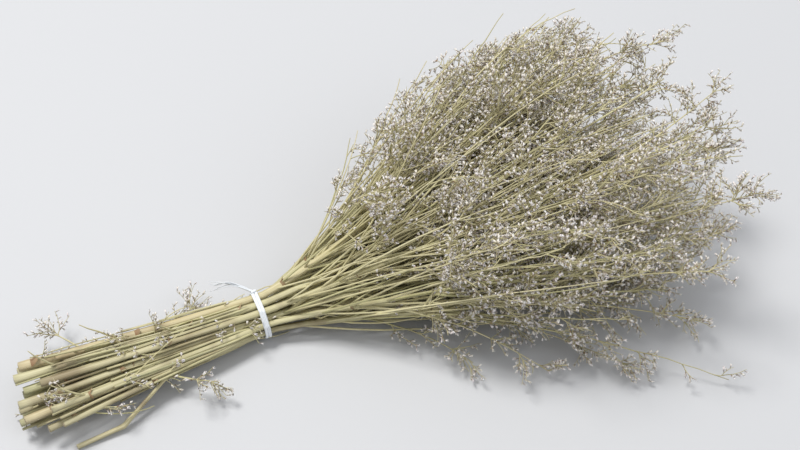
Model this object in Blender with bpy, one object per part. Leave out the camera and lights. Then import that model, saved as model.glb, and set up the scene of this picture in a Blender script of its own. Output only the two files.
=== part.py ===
"""A tied bunch of dried statice (sea lavender), lying on a table.

The frame: metres, +X from the cut ends to the flower heads, +Z up. The origin is the flat
underside of the white tie, where the bunch rests. Each stem is one solid: a five-sided main
stem, slender side branches, and short twigs whose faces are drawn out into florets. The
stems pass through the tie side by side, and no stem touches another or the tie.
"""

import math
from dataclasses import dataclass

import bmesh
import bpy
import numpy as np
from mathutils import Vector

# Driving dimensions, in metres
STEM_COUNT = 22
STEM_RADIUS = 0.0030          # at the cut end; stems differ by a few tenths of a millimetre
STEM_RADIUS_SPREAD = 0.0003
STEM_SIDES = 5
TIE_TAPER = 0.93              # stem radius at the tie, as a share of that at the cut
TIP_RADIUS = 0.0011
CUT_X = -0.177                # mean place of the cut ends
CUT_SPREAD = 1.75             # how much wider the stems stand at the cut ends than in the tie
CUT_TWIST = math.radians(-22)
CUT_SHIFT = 0.006
CUT_STRAY = 0.009             # how much further the outermost stem stands off at the front
CUT_RISE = 1.30
HEAD_REACH = 0.345            # tie to the far end of the longest main stem, without its spray
SIDE_REACH = 0.255            # tie to the ends of the outermost stems
FAN_ANGLE = math.radians(25)  # from the middle line to the outermost stem, on plan
HEAD_MIDDLE_Z = 0.074
HEAD_HALF_HEIGHT = 0.064
HEAD_TWIST = math.radians(10)
HEAD_LIMITS = (0.405, math.radians(33))  # reach and half angle on plan
HEAD_TOP = ((0.10, 0.112), (0.20, 0.158), (0.27, 0.165), (0.32, 0.138), (0.40, 0.096))  # reach, z
GAP = 0.00032                 # between stems in the tie, and between stems and tie
CLEAR = 0.00045               # least distance between a branch and another stem
FLAT_SHARE = 0.84             # height of the bundle in the tie, as a share of its width
FLAT_HALF = 0.006             # half of the straight run of each stem through the tie
STATIONS = (-0.090, -FLAT_HALF, FLAT_HALF, 0.045, 0.105, 0.190, 0.280)

# The tie: white string wound twice and pressed flat underneath
TIE_WIDTH = 0.0056
TIE_THICKNESS = 0.0015
TIE_GROOVE = 0.0006           # between its two turns
TIE_SIDES = 28
TAIL_RADIUS = 0.0011
TAIL_TURN = math.radians(48)  # where the knot is, round the tie from +Y
TAIL_STEPS = ((-0.007, 0.005, 0.003), (-0.008, 0.007, 0.001), (-0.010, 0.006, -0.004))

# Branches, twigs and florets
BRANCHES = 4
BRANCH_STARTS = (0.035, 0.250)  # along X, of the lowest and highest branch
BRANCH_ANGLE = math.radians(20)
BRANCH_LENGTHS = (0.090, 0.165)
BRANCH_RADIUS = 0.0009
SPRAY_LENGTH = 0.034          # of a branch's end that carries florets
SPRAY_SEGMENTS = 4
TWIGS = 1
TWIG_LENGTH = 0.030
TWIG_ANGLE = math.radians(44)
TWIG_SEGMENTS = 3
LOW_TWIGS = 8                 # on the outer stems between the cut ends and the tie
FORK_RADIUS = 0.0017          # the bare side stem that leaves the front one and is cut as well
FORK = ((-0.118, -0.0455, 0.0045), (-0.152, -0.0475, 0.0024))
CORE_RADIUS = 0.0010          # of a twig where its florets stand
FLORET_LENGTH = 0.0050
FLORET_MOUTH = 0.0042
FLORET_LEAN = 0.75            # towards the twig's tip, per unit of length outwards
FLORET_REACH = 0.0060         # from a twig's axis to the rim of its florets
GOLDEN_ANGLE = math.radians(137.5)
TRIES = 60
SEED = 41

# Long sprays that leave the head: where each starts along X, and its tip
REACHING = (
    (0.060, (0.289, -0.186, 0.0072)),
    (0.080, (0.232, -0.150, 0.0072)),
    (0.050, (0.175, -0.128, 0.0072)),
    (0.045, (0.128, -0.098, 0.0072)),
    (0.150, (0.296, -0.134, 0.0110)),
    (0.180, (0.335, -0.090, 0.0480)),
    (0.200, (0.362, -0.066, 0.0950)),
    (0.210, (0.366, -0.020, 0.1250)),
    (0.190, (0.344, 0.032, 0.1350)),
    (0.170, (0.296, 0.080, 0.1480)),
    (0.120, (0.224, 0.108, 0.1200)),
    (0.080, (0.165, 0.116, 0.0950)),
    (0.050, (0.112, 0.092, 0.0720)),
    (0.035, (0.078, 0.070, 0.0560)),
    (0.045, (0.110, 0.070, 0.1000)),
    (0.040, (0.100, 0.004, 0.1020)),
)

STEM_GREEN = (0.46, 0.44, 0.25, 1.0)
STEM_STRAW = (0.56, 0.50, 0.33, 1.0)
STRING_WHITE = (0.86, 0.87, 0.88, 1.0)


@dataclass
class Strand:
    """A run of a stem: its centre line and radii, and the room round each segment of it."""

    points: np.ndarray
    radii: np.ndarray
    room: np.ndarray
    sides: int = 3
    florets: tuple = ()
    phase: float = 0.0


def unit(v):
    return v / max(np.linalg.norm(v), 1e-12)


def rotated(yz, angle):
    c, s = math.cos(angle), math.sin(angle)
    return np.array([c * yz[0] - s * yz[1], s * yz[0] + c * yz[1]])


def rounded(t, blend):
    """Grows from 0 at t = 0 to 1 at t = 1, straight but for a soft start."""
    return (math.hypot(t, blend) - blend) / (math.hypot(1.0, blend) - blend)


def stem_radii():
    k = np.arange(STEM_COUNT)
    return STEM_RADIUS + STEM_RADIUS_SPREAD * np.sin(2.4 * k + 0.6)


def pack_slots(radii):
    """Centres (y, z) of the stems in the tie: circles drawn together until they touch."""
    k = np.arange(len(radii))
    spread = 1.35 * np.sqrt((k + 0.5) / len(radii)) * radii.mean() * math.sqrt(len(radii))
    at = np.stack([spread * np.cos(k * GOLDEN_ANGLE), spread * np.sin(k * GOLDEN_ANGLE)], 1)
    need = radii[:, None] + radii[None, :] + GAP
    floor = -0.0125
    for step in range(900):
        pull = 0.02 if step < 650 else 0.0
        at[:, 0] -= pull * FLAT_SHARE * at[:, 0]
        at[:, 1] -= pull * at[:, 1] / FLAT_SHARE
        for _ in range(6):
            apart = at[:, None] - at[None, :]
            far = np.linalg.norm(apart, axis=2) + np.eye(len(radii))
            short = np.maximum(need - far, 0.0) * (1 - np.eye(len(radii)))
            at += 0.5 * (apart / far[:, :, None] * short[:, :, None]).sum(1)
            at[:, 1] = np.maximum(at[:, 1], floor + radii)
    base = (at[:, 1] - radii).min()
    at[:, 0] -= (at[:, 0].min() + at[:, 0].max()) / 2
    at[:, 1] += TIE_THICKNESS + GAP - base
    return at


def segment_distances(a0, a1, b0, b1):
    """Least distance between each segment a and each segment b, as a table."""
    d1, d2 = (a1 - a0)[:, None], (b1 - b0)[None]
    r = a0[:, None] - b0[None]
    a, e = (d1 * d1).sum(2), (d2 * d2).sum(2)
    b, c, f = (d1 * d2).sum(2), (d1 * r).sum(2), (d2 * r).sum(2)
    s = np.clip((b * f - c * e) / np.maximum(a * e - b * b, 1e-16), 0, 1)
    t = np.clip((b * s + f) / np.maximum(e, 1e-16), 0, 1)
    s = np.clip((b * t - c) / np.maximum(a, 1e-16), 0, 1)
    return np.linalg.norm(r + s[..., None] * d1 - t[..., None] * d2, axis=2)


class Room:
    """What is already placed: every segment with its stem's number and the room it needs."""

    def __init__(self):
        self.start = np.zeros((0, 3))
        self.end = np.zeros((0, 3))
        self.room = np.zeros(0)
        self.owner = np.zeros(0, int)

    def add(self, strand, owner):
        self.start = np.vstack([self.start, strand.points[:-1]])
        self.end = np.vstack([self.end, strand.points[1:]])
        self.room = np.append(self.room, strand.room)
        self.owner = np.append(self.owner, np.full(len(strand.points) - 1, owner))

    def free(self, strand, owner, own_from=0.014):
        """True if the strand clears every other stem, and its own stem past its root."""
        if (strand.points[1:, 2] < strand.room + 0.0001).any():
            return False
        if not len(self.start):
            return True
        a0, a1 = strand.points[:-1], strand.points[1:]
        gaps = segment_distances(a0, a1, self.start, self.end)
        need = strand.room[:, None] + self.room[None] + CLEAR
        lengths = np.linalg.norm(a1 - a0, axis=1)
        past = (np.cumsum(lengths) - lengths > own_from)[:, None]
        return not ((gaps < need) & ((self.owner[None] != owner) | past)).any()


def main_strand(slot, radius, cut, tip, draw):
    """The main stem: cut end, straight through the tie, then out to its far end."""
    wave = draw.uniform(-1, 1, 2) * 0.003
    points, radii = [cut], [radius]
    for x in STATIONS:
        if x <= cut[0] + 0.02 or x >= tip[0] - 0.02:
            continue
        end, blend = (tip, 0.05) if x > 0 else (cut, 0.2)
        t = (abs(x) - FLAT_HALF) / (abs(end[0]) - FLAT_HALF)
        yz = slot + (end[1:] - slot) * rounded(t, blend)
        tie_radius = radius * TIE_TAPER
        if x > 0:
            yz = yz + wave * math.sin(math.pi * t)
            r = tie_radius + (TIP_RADIUS - tie_radius) * t ** 1.1
        else:
            r = tie_radius + (radius - tie_radius) * t
        points.append(np.array([x, yz[0], max(yz[1], r + 0.0002)]))
        radii.append(r)
    points.append(tip)
    radii.append(TIP_RADIUS)
    points, radii = np.array(points), np.array(radii)
    room = np.maximum(radii[:-1], radii[1:])
    room[points[:-1, 0] < 0.05] -= CLEAR / 2
    return Strand(points, radii, room, STEM_SIDES, phase=draw.uniform(0, 1.2))


def head_top(reach):
    """The height that the head stays under, at that distance from the tie."""
    return float(np.interp(reach, *zip(*HEAD_TOP)))


def cut_places(slots):
    """Where (y, z) each stem ends at the cut: spread out, turned, and low on the table."""
    middle = (slots.min(0) + slots.max(0)) / 2
    y, z = rotated((slots - middle).T, CUT_TWIST)
    stray = CUT_STRAY * np.clip(-y / np.abs(y).max(), 0, 1) ** 2
    return np.stack([CUT_SPREAD * y - CUT_SHIFT - stray, STEM_RADIUS + CUT_RISE * (z - z.min())],
                    1)


def place_main(room, owner, slots, radius, draw):
    """A main stem that clears those placed before it."""
    middle = (slots.min(0) + slots.max(0)) / 2
    u, v = rotated((slots[owner] - middle) / np.abs(slots - middle).max(0), HEAD_TWIST)
    fanned = cut_places(slots)
    for attempt in range(6 * TRIES):
        stray = 1 + attempt / 40
        angle = FAN_ANGLE * u + draw.uniform(-0.05, 0.05) * stray
        reach = HEAD_REACH - (HEAD_REACH - SIDE_REACH) * abs(u) ** 1.6 - 0.03 * max(v, 0)
        reach += draw.uniform(-0.035, 0.0)
        z = HEAD_MIDDLE_Z + HEAD_HALF_HEIGHT * v + draw.uniform(-0.006, 0.006) * stray
        z = min(max(z, 0.0075), head_top(reach + SPRAY_LENGTH) - 0.014)
        tip = np.array([reach * math.cos(angle), reach * math.sin(angle), z])
        y, z = fanned[owner] + draw.uniform(-0.001, 0.001, 2) * (stray - 1)
        cut = np.array([CUT_X + draw.uniform(-0.010, 0.022), y, max(z, radius + 0.0002)])
        strand = main_strand(slots[owner], radius, cut, tip, draw)
        if room.free(strand, owner):
            return strand
    raise ValueError(f"no room for stem {owner}")


def at_x(strand, x):
    """The point of a strand at X = x, and its direction there."""
    p = strand.points
    k = min(max(int(np.searchsorted(p[:, 0], x)) - 1, 0), len(p) - 2)
    t = (x - p[k, 0]) / (p[k + 1, 0] - p[k, 0])
    return p[k] + (p[k + 1] - p[k]) * t, unit(p[k + 1] - p[k])


def leaving(direction, turn, angle):
    """A direction that leaves another by an angle, turned about it."""
    side = unit(np.cross(direction, [0.0, 0.0, 1.0]))
    out = side * math.cos(turn) + np.cross(side, direction) * math.sin(turn)
    return unit(direction * math.cos(angle) + out * math.sin(angle))


def bearing_strand(points, first, radius, phase):
    """A branch or twig that carries florets from its point number first to its tip."""
    radii = np.full(len(points), radius)
    radii[0] = radius * 1.15
    radii[first:] = CORE_RADIUS
    radii[-1] = CORE_RADIUS * 0.5
    room = np.where(np.arange(len(points) - 1) < first, radius * 1.2, FLORET_REACH)
    florets = [(j, (j + k) % 3) for j in range(first, len(points) - 1) for k in (0, 1)][1:]
    return Strand(np.array(points), radii, room, florets=tuple(florets), phase=phase)


def spray_points(here, heading, sag, length, segments):
    """Points of a spray's end past here, drooping as it goes."""
    points = []
    for j in range(segments):
        heading = unit(heading + np.array([0, 0, -sag]))
        here = here + heading * length / segments
        points.append(here)
    return points


def branch_strand(start, direction, along, length, draw):
    """A branch: it leaves its stem, bends back to run beside it, then bears florets."""
    bare = length - SPRAY_LENGTH
    knee = start + unit(direction * 0.9 + along * 0.1) * bare * 0.5
    neck = knee + unit(direction * 0.62 + along * 0.38) * bare * 0.5
    end = spray_points(neck, unit(direction + along), draw.uniform(-0.05, 0.06),
                       SPRAY_LENGTH, SPRAY_SEGMENTS)
    return bearing_strand([start, knee, neck, *end], 2, BRANCH_RADIUS, draw.uniform(0, 2))


def inside_head(point):
    reach, half_angle = HEAD_LIMITS
    angle = abs(math.atan2(point[1], point[0]))
    reach -= 0.11 * (angle / half_angle) ** 1.6
    out = math.hypot(point[0], point[1])
    return out < reach and angle < half_angle and point[2] < head_top(out)


def grow_branch(room, stem, owner, order, draw):
    """The next branch of a stem, or None where there is no room for one."""
    low, high = BRANCH_STARTS
    high = min(high, stem.points[-1, 0] - 0.05)
    for attempt in range(TRIES):
        x = low + (high - low) * (order + draw.uniform(0.0, 1.0)) / BRANCHES
        start, along = at_x(stem, x)
        turn = order * GOLDEN_ANGLE + owner + draw.uniform(-0.5, 0.5) + attempt * 0.7
        direction = leaving(along, turn, BRANCH_ANGLE * draw.uniform(0.5, 1.6))
        length = draw.uniform(*BRANCH_LENGTHS) * (1 - 0.008 * attempt)
        strand = branch_strand(start, direction, along, length, draw)
        if inside_head(strand.points[-1]) and room.free(strand, owner):
            return strand
    return None


def grow_reaching(room, stems, x, tip, draw):
    """A long spray from whichever stem can send one to that tip."""
    tip = np.array(tip)
    starts = [at_x(strands[0], x) for strands in stems]
    for k in np.argsort([np.linalg.norm(start - tip) for start, _ in starts]):
        for attempt in range(8):
            start, along = at_x(stems[k][0], x + 0.01 * attempt)
            chord = np.linalg.norm(tip - start)
            bend = start + along * chord * (0.42 - 0.04 * attempt)
            bend[2] = max(bend[2], tip[2])
            ts = [0.0, 0.3, 0.62, *np.linspace(1 - SPRAY_LENGTH * 1.15 / chord, 1, 5)]
            points = [start * (1 - t) ** 2 + bend * 2 * t * (1 - t) + tip * t * t for t in ts]
            strand = bearing_strand(points, 3, BRANCH_RADIUS, draw.uniform(0, 2))
            if room.free(strand, k):
                room.add(strand, k)
                stems[k].append(strand)
                return k
    print("no stem can reach", tip)
    return None


def grow_twig(room, parents, owner, order, draw):
    """A short twig full of florets on one of the stem's sprays."""
    for attempt in range(TRIES):
        parent = parents[(order + attempt // 12) % len(parents)]
        k = int(draw.integers(max(len(parent.points) - 6, 1), len(parent.points) - 2))
        start = parent.points[k] + (parent.points[k + 1] - parent.points[k]) * 0.5
        along = unit(parent.points[k + 1] - parent.points[k])
        direction = leaving(along, draw.uniform(0, 2 * math.pi),
                            TWIG_ANGLE * draw.uniform(0.7, 1.3))
        strand = twig_strand(start, direction, along, draw)
        if inside_head(strand.points[-1] * 0.97) and room.free(strand, owner, 0.008):
            return strand
    return None


def twig_strand(start, direction, along, draw):
    length = TWIG_LENGTH * draw.uniform(0.85, 1.25)
    neck = start + direction * length * 0.33
    end = spray_points(neck, unit(direction * 0.8 + along * 0.2), draw.uniform(-0.08, 0.08),
                       length * 0.67, TWIG_SEGMENTS)
    return bearing_strand([start, neck, *end], 1, BRANCH_RADIUS * 0.92, draw.uniform(0, 2))


def fork_strand(main):
    """The bare side stem at the front, kinked, from its root back to its cut end."""
    points = np.array([at_x(main, -0.078)[0], *FORK])
    radii = FORK_RADIUS * np.array([0.8, 1.05, 1.15])
    return Strand(points, radii, radii[1:], 4, phase=0.4)


def grow_low_twig(room, stems, order, draw):
    """A twig on an outer stem between the cut ends and the tie."""
    for _ in range(4 * TRIES):
        k = int(draw.integers(STEM_COUNT))
        x = -0.155 + 0.125 * (order + draw.uniform(0, 1)) / LOW_TWIGS
        start, along = at_x(stems[k][0], x)
        turn = draw.uniform(0, 2 * math.pi)
        direction = leaving(along * draw.choice([-1, 1]), turn, draw.uniform(0.35, 0.8))
        strand = twig_strand(start, direction, along, draw)
        if room.free(strand, k):
            room.add(strand, k)
            stems[k].append(strand)
            return


def grow_bunch():
    """The slots in the tie, and every stem as a list of strands, its main stem first."""
    draw = np.random.default_rng(SEED)
    radii = stem_radii()
    slots = pack_slots(radii * TIE_TAPER)
    room = Room()
    stems = []
    for k in range(STEM_COUNT):
        strand = place_main(room, k, slots, radii[k], draw)
        room.add(strand, k)
        stems.append([strand])
    for k, (main,) in enumerate(stems):
        heading = unit(main.points[-1] - main.points[-2])
        points = [main.points[-1] - heading * 0.004, main.points[-1]]
        for attempt in range(TRIES):
            bent = unit(heading + draw.uniform(-0.01, 0.01, 3) * attempt)
            end = spray_points(points[-1], bent, draw.uniform(-0.04, 0.04),
                               SPRAY_LENGTH * 1.1, SPRAY_SEGMENTS)
            strand = bearing_strand([*points, *end], 1, TIP_RADIUS * 0.95, draw.uniform(0, 2))
            if room.free(strand, k, 0.05):
                room.add(strand, k)
                stems[k].append(strand)
                break
    front = min(range(STEM_COUNT), key=lambda k: stems[k][0].points[0, 1])
    fork = fork_strand(stems[front][0])
    room.add(fork, front)
    for x, tip in REACHING:
        grow_reaching(room, stems, x, tip, draw)
    for order in range(BRANCHES):
        for k, strands in enumerate(stems):
            branch = grow_branch(room, strands[0], k, order, draw)
            if branch is not None:
                room.add(branch, k)
                strands.append(branch)
    for order in range(TWIGS):
        for k, strands in enumerate(stems):
            twig = grow_twig(room, strands[1:], k, order, draw)
            if twig is not None:
                room.add(twig, k)
                strands.append(twig)
    for order in range(LOW_TWIGS):
        grow_low_twig(room, stems, order, draw)
    stems[front].append(fork)
    return slots, radii, stems


def ring_frames(points):
    """A side and an up vector at each point, carried along without twisting."""
    tangents = np.gradient(points, axis=0)
    tangents /= np.linalg.norm(tangents, axis=1)[:, None]
    side = unit(np.cross(tangents[0], [0.0, 0.02, 1.0]))
    frames = []
    for tangent in tangents:
        side = unit(side - tangent * side.dot(tangent))
        frames.append((side, np.cross(tangent, side), tangent))
    return frames


def open_floret(bm, face, along):
    """Draws a face out into a floret: a flared cup that leans towards the tip."""
    centre, normal = face.calc_center_median(), face.normal.copy()
    made = bmesh.ops.extrude_discrete_faces(bm, faces=[face])["faces"][0]
    axis = (normal + along * FLORET_LEAN).normalized()
    side = axis.cross(along).normalized()
    rim = side.cross(axis)
    mouth = centre + axis * FLORET_LENGTH
    for vert in made.verts:
        offset = vert.co - centre
        vert.co = (mouth + side * math.copysign(FLORET_MOUTH / 2, offset.dot(side))
                   - rim * math.copysign(FLORET_MOUTH / 2, -offset.dot(along)))


def strand_mesh(name, strand):
    """A closed tube along the strand, with its florets drawn out of its faces."""
    bm = bmesh.new()
    rings = []
    for point, radius, (side, up, _) in zip(strand.points, strand.radii,
                                            ring_frames(strand.points)):
        turns = strand.phase + 2 * math.pi * np.arange(strand.sides) / strand.sides
        rings.append([bm.verts.new(point + radius * (side * math.cos(a) + up * math.sin(a)))
                      for a in turns])
    walls = {}
    for j, (low, high) in enumerate(zip(rings, rings[1:])):
        for f in range(strand.sides):
            g = (f + 1) % strand.sides
            walls[j, f] = bm.faces.new((low[f], low[g], high[g], high[f]))
    bm.faces.new(rings[0][::-1])
    bm.faces.new(rings[-1])
    bm.normal_update()
    for j, f in strand.florets:
        along = Vector(unit(strand.points[j + 1] - strand.points[j]))
        open_floret(bm, walls[j, f], along)
    bmesh.ops.triangulate(bm, faces=bm.faces[:])
    mesh = bpy.data.meshes.new(name)
    bm.to_mesh(mesh)
    bm.free()
    return mesh


def fused(name, meshes, material):
    """One solid from overlapping ones: the first mesh joined with all the rest."""
    body = bpy.data.objects.new(name, meshes[0])
    bpy.context.scene.collection.objects.link(body)
    repeats = bpy.data.collections.new(name + "_repeats")
    bpy.context.scene.collection.children.link(repeats)
    for mesh in meshes[1:]:
        repeats.objects.link(bpy.data.objects.new(mesh.name, mesh))
    union = body.modifiers.new("union", "BOOLEAN")
    union.operation = "UNION"
    union.operand_type = "COLLECTION"
    union.collection = repeats
    union.solver = "MANIFOLD"
    graph = bpy.context.evaluated_depsgraph_get()
    whole = bpy.data.meshes.new_from_object(body.evaluated_get(graph))
    body.modifiers.clear()
    body.data = whole
    whole.materials.clear()
    whole.materials.append(material)
    for obj in list(repeats.objects):
        bpy.data.objects.remove(obj)
    bpy.data.collections.remove(repeats)
    return body


def make_material(name, colour, roughness):
    material = bpy.data.materials.new(name)
    material.use_nodes = True
    shader = material.node_tree.nodes["Principled BSDF"]
    shader.inputs["Base Color"].default_value = colour
    shader.inputs["Roughness"].default_value = roughness
    material.diffuse_color = colour
    return material


def tie_outline(slots, radii):
    """The line (y, z) round all the stems, a gap away from them, flat underneath."""
    turns = np.linspace(0, 2 * math.pi, TIE_SIDES, endpoint=False) - math.pi / 2
    points = []
    for turn in turns:
        normal = np.array([math.cos(turn), math.sin(turn)])
        supports = slots @ normal + radii + GAP
        k = int(np.argmax(supports))
        points.append(slots[k] + normal * (radii[k] + GAP))
    points = np.array(points)
    low = points[:, 1] < TIE_THICKNESS + 0.0006
    points[low, 1] = TIE_THICKNESS
    return points, turns


def tie_mesh(slots, radii):
    """Two turns of string as one grooved band; the groove fades where the tie rests."""
    outline, turns = tie_outline(slots, radii)
    half = TIE_WIDTH / 2
    bm = bmesh.new()
    rings = []
    for (y, z), turn in zip(outline, turns):
        groove = TIE_GROOVE * min(1.0, max(0.0, (z - TIE_THICKNESS) / 0.004))
        profile = ((-half, 0.0), (-half, 0.5), (-0.8 * half, 0.93), (-0.55 * half, 1.0),
                   (0.0, 1.0 - groove / TIE_THICKNESS), (0.55 * half, 1.0),
                   (0.8 * half, 0.93), (half, 0.5), (half, 0.0))
        flat = z < TIE_THICKNESS + 1e-6
        out = (0.0, -1.0) if flat else (math.cos(turn), math.sin(turn))
        rings.append([bm.verts.new((x, y + out[0] * h * TIE_THICKNESS,
                                    z + out[1] * h * TIE_THICKNESS)) for x, h in profile])
    count = len(rings)
    for k in range(count):
        low, high = rings[k], rings[(k + 1) % count]
        for j in range(len(low)):
            i = (j + 1) % len(low)
            bm.faces.new((low[j], low[i], high[i], high[j]))
    bmesh.ops.remove_doubles(bm, verts=bm.verts[:], dist=1e-6)
    bmesh.ops.recalc_face_normals(bm, faces=bm.faces[:])
    bmesh.ops.triangulate(bm, faces=bm.faces[:])
    mesh = bpy.data.meshes.new("tie")
    bm.to_mesh(mesh)
    bm.free()
    return mesh


def tail_mesh(slots, radii):
    """The string's end, from the knot on the band out into the air."""
    normal = np.array([0.0, math.cos(TAIL_TURN), math.sin(TAIL_TURN)])
    supports = slots @ normal[1:] + radii + GAP
    k = int(np.argmax(supports))
    knot = np.array([0.0, *slots[k]]) + normal * (radii[k] + GAP + TIE_THICKNESS + 0.0003)
    first = knot + np.array([TIE_WIDTH * 0.4, 0.0, 0.0])
    points = np.vstack([first, knot, knot + np.cumsum(TAIL_STEPS, axis=0)])
    sizes = np.array([0.9, 1.25, 1.0, 0.85, 0.6]) * TAIL_RADIUS
    return strand_mesh("tie_tail", Strand(points, sizes, sizes[:-1], 5))


def main():
    for obj in list(bpy.data.objects):
        bpy.data.objects.remove(obj)
    green = make_material("stem_green", STEM_GREEN, 0.7)
    straw = make_material("stem_straw", STEM_STRAW, 0.75)
    white = make_material("string_white", STRING_WHITE, 0.5)
    slots, radii, stems = grow_bunch()
    for k, strands in enumerate(stems):
        name = f"stem_{k + 1:02d}"
        meshes = [strand_mesh(f"{name}_{j}", strand) for j, strand in enumerate(strands)]
        fused(name, meshes, straw if k % 3 == 0 else green)
    tie = [tie_mesh(slots, radii * TIE_TAPER), tail_mesh(slots, radii * TIE_TAPER)]
    fused("tie", tie, white)


if __name__ == "__main__":
    main()
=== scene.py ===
"""Looks of a tied bunch of dried statice, lying on a pale table.

The bunch is grown again from the same named sizes as its solids, so every main stem and
branch lies where its solid lies. Fine twigs and papery florets are then added to each stem,
and each stem becomes one piece that replaces its node. Units are metres; +X runs from the
cut ends to the flower heads, +Z is up, and the origin is the underside of the string tie.
"""

from __future__ import annotations

import logging
import math
from dataclasses import dataclass, field
from enum import Enum, IntEnum

import bpy
import numpy as np
from mathutils import Matrix, Vector

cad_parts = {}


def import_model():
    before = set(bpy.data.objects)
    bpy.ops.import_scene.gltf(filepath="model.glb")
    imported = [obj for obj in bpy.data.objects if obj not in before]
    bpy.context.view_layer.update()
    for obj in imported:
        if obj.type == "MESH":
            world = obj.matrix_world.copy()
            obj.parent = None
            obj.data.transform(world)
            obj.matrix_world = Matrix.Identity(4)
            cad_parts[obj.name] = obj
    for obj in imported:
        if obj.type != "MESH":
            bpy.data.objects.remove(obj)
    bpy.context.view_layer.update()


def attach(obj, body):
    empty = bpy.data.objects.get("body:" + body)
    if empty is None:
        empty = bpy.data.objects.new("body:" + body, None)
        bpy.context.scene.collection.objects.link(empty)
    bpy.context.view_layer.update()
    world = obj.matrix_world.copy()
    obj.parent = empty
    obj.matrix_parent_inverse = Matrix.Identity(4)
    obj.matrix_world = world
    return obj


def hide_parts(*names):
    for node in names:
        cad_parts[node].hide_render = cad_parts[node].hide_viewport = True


LOG = logging.getLogger("statice")

Array = np.ndarray
Draw = np.random.Generator
Colour = tuple[float, float, float]
Stops = tuple[tuple[float, Colour], ...]
Values = Array | tuple[float, float, float]

SEED = 41                     # of every draw that places a stem, branch or twig
TRIES = 60
GOLDEN_ANGLE = math.radians(137.5)


@dataclass(frozen=True)
class StemSizes:
    """The main stems, from their cut ends through the tie to their tips."""

    count: int = 22
    radius: float = 0.0030        # at the cut end
    radius_spread: float = 0.0003
    tie_taper: float = 0.93       # radius at the tie, as a share of that at the cut
    tip_radius: float = 0.0011
    cut_x: float = -0.177         # mean place of the cut ends
    cut_uneven: tuple[float, float] = (-0.010, 0.022)
    cut_spread: float = 1.75      # how much wider the stems stand at the cut than in the tie
    cut_twist: float = math.radians(-22)
    cut_shift: float = 0.006
    cut_stray: float = 0.009      # how much further the outermost stem stands off at the front
    cut_rise: float = 1.30
    gap: float = 0.00032          # between stems in the tie, and between stems and string
    clear: float = 0.00045        # least distance between a branch and another stem
    flat_share: float = 0.84      # height of the bundle in the tie, as a share of its width
    flat_half: float = 0.006      # half of the straight run of each stem through the tie
    stations: tuple[float, ...] = (-0.090, -0.006, 0.006, 0.045, 0.105, 0.190, 0.280)
    tie_thickness: float = 0.0015
    wave: float = 0.003


@dataclass(frozen=True)
class HeadSizes:
    """The outline of the flower heads together."""

    reach: float = 0.345          # tie to the far end of the longest main stem
    side_reach: float = 0.255     # tie to the ends of the outermost stems
    fan_angle: float = math.radians(25)
    middle_z: float = 0.074
    half_height: float = 0.064
    twist: float = math.radians(10)
    limit_reach: float = 0.405
    limit_angle: float = math.radians(33)
    limit_loss: float = 0.11      # of reach, at the limit of the angle
    top: tuple[tuple[float, float], ...] = (
        (0.10, 0.112), (0.20, 0.158), (0.27, 0.165), (0.32, 0.138), (0.40, 0.096))


@dataclass(frozen=True)
class BranchSizes:
    """Branches and twigs that have a solid."""

    count: int = 4
    starts: tuple[float, float] = (0.035, 0.250)
    angle: float = math.radians(20)
    lengths: tuple[float, float] = (0.090, 0.165)
    radius: float = 0.0009
    spray_length: float = 0.034   # of a branch's end that carries florets
    spray_segments: int = 4
    twigs: int = 1
    twig_length: float = 0.030
    twig_angle: float = math.radians(44)
    twig_segments: int = 3
    low_twigs: int = 8            # on the outer stems between the cut ends and the tie
    low_start: float = -0.155
    low_run: float = 0.125
    fork_root: float = -0.078     # where the bare side stem leaves the front one, along X
    fork_radius: float = 0.0017
    fork: tuple[tuple[float, float, float], ...] = (
        (-0.118, -0.0455, 0.0045), (-0.152, -0.0475, 0.0024))
    core_radius: float = 0.0010   # of a twig where its florets stand
    floret_reach: float = 0.0060  # from a twig's axis to the rim of its florets


STEM = StemSizes()
HEAD = HeadSizes()
BRANCH = BranchSizes()

# Long sprays that leave the head: where each starts along X, and its tip
REACHING = (
    (0.060, (0.289, -0.186, 0.0072)),
    (0.080, (0.232, -0.150, 0.0072)),
    (0.050, (0.175, -0.128, 0.0072)),
    (0.045, (0.128, -0.098, 0.0072)),
    (0.150, (0.296, -0.134, 0.0110)),
    (0.180, (0.335, -0.090, 0.0480)),
    (0.200, (0.362, -0.066, 0.0950)),
    (0.210, (0.366, -0.020, 0.1250)),
    (0.190, (0.344, 0.032, 0.1350)),
    (0.170, (0.296, 0.080, 0.1480)),
    (0.120, (0.224, 0.108, 0.1200)),
    (0.080, (0.165, 0.116, 0.0950)),
    (0.050, (0.112, 0.092, 0.0720)),
    (0.035, (0.078, 0.070, 0.0560)),
    (0.045, (0.110, 0.070, 0.1000)),
    (0.040, (0.100, 0.004, 0.1020)),
)


@dataclass
class Strand:
    """A run of a stem.

    Attributes:
        points: (n, 3) corners of its centre line.
        radii: (n,) radius at each corner.
        room: (n - 1,) radius round each segment that others keep out of.
        bears_florets: False on main stems and on the bare side stem.
        phase: Turn of its ring of florets or ridges about its axis; not used.
    """

    points: Array
    radii: Array
    room: Array
    bears_florets: bool = False
    phase: float = 0.0


def unit(v: Array) -> Array:
    """The vector at length one."""
    return v / max(np.linalg.norm(v), 1e-12)


def units(vectors: Array) -> Array:
    """Each vector of an array at length one."""
    return vectors / np.maximum(np.linalg.norm(vectors, axis=-1, keepdims=True), 1e-9)


def rotated(yz: Array, angle: float) -> Array:
    """Turns points about the X axis.

    Args:
        yz: (2,) or (2, n) places (y, z).
        angle: In radians.

    Returns:
        The places after the turn.
    """
    c, s = math.cos(angle), math.sin(angle)
    return np.array([c * yz[0] - s * yz[1], s * yz[0] + c * yz[1]])


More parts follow.
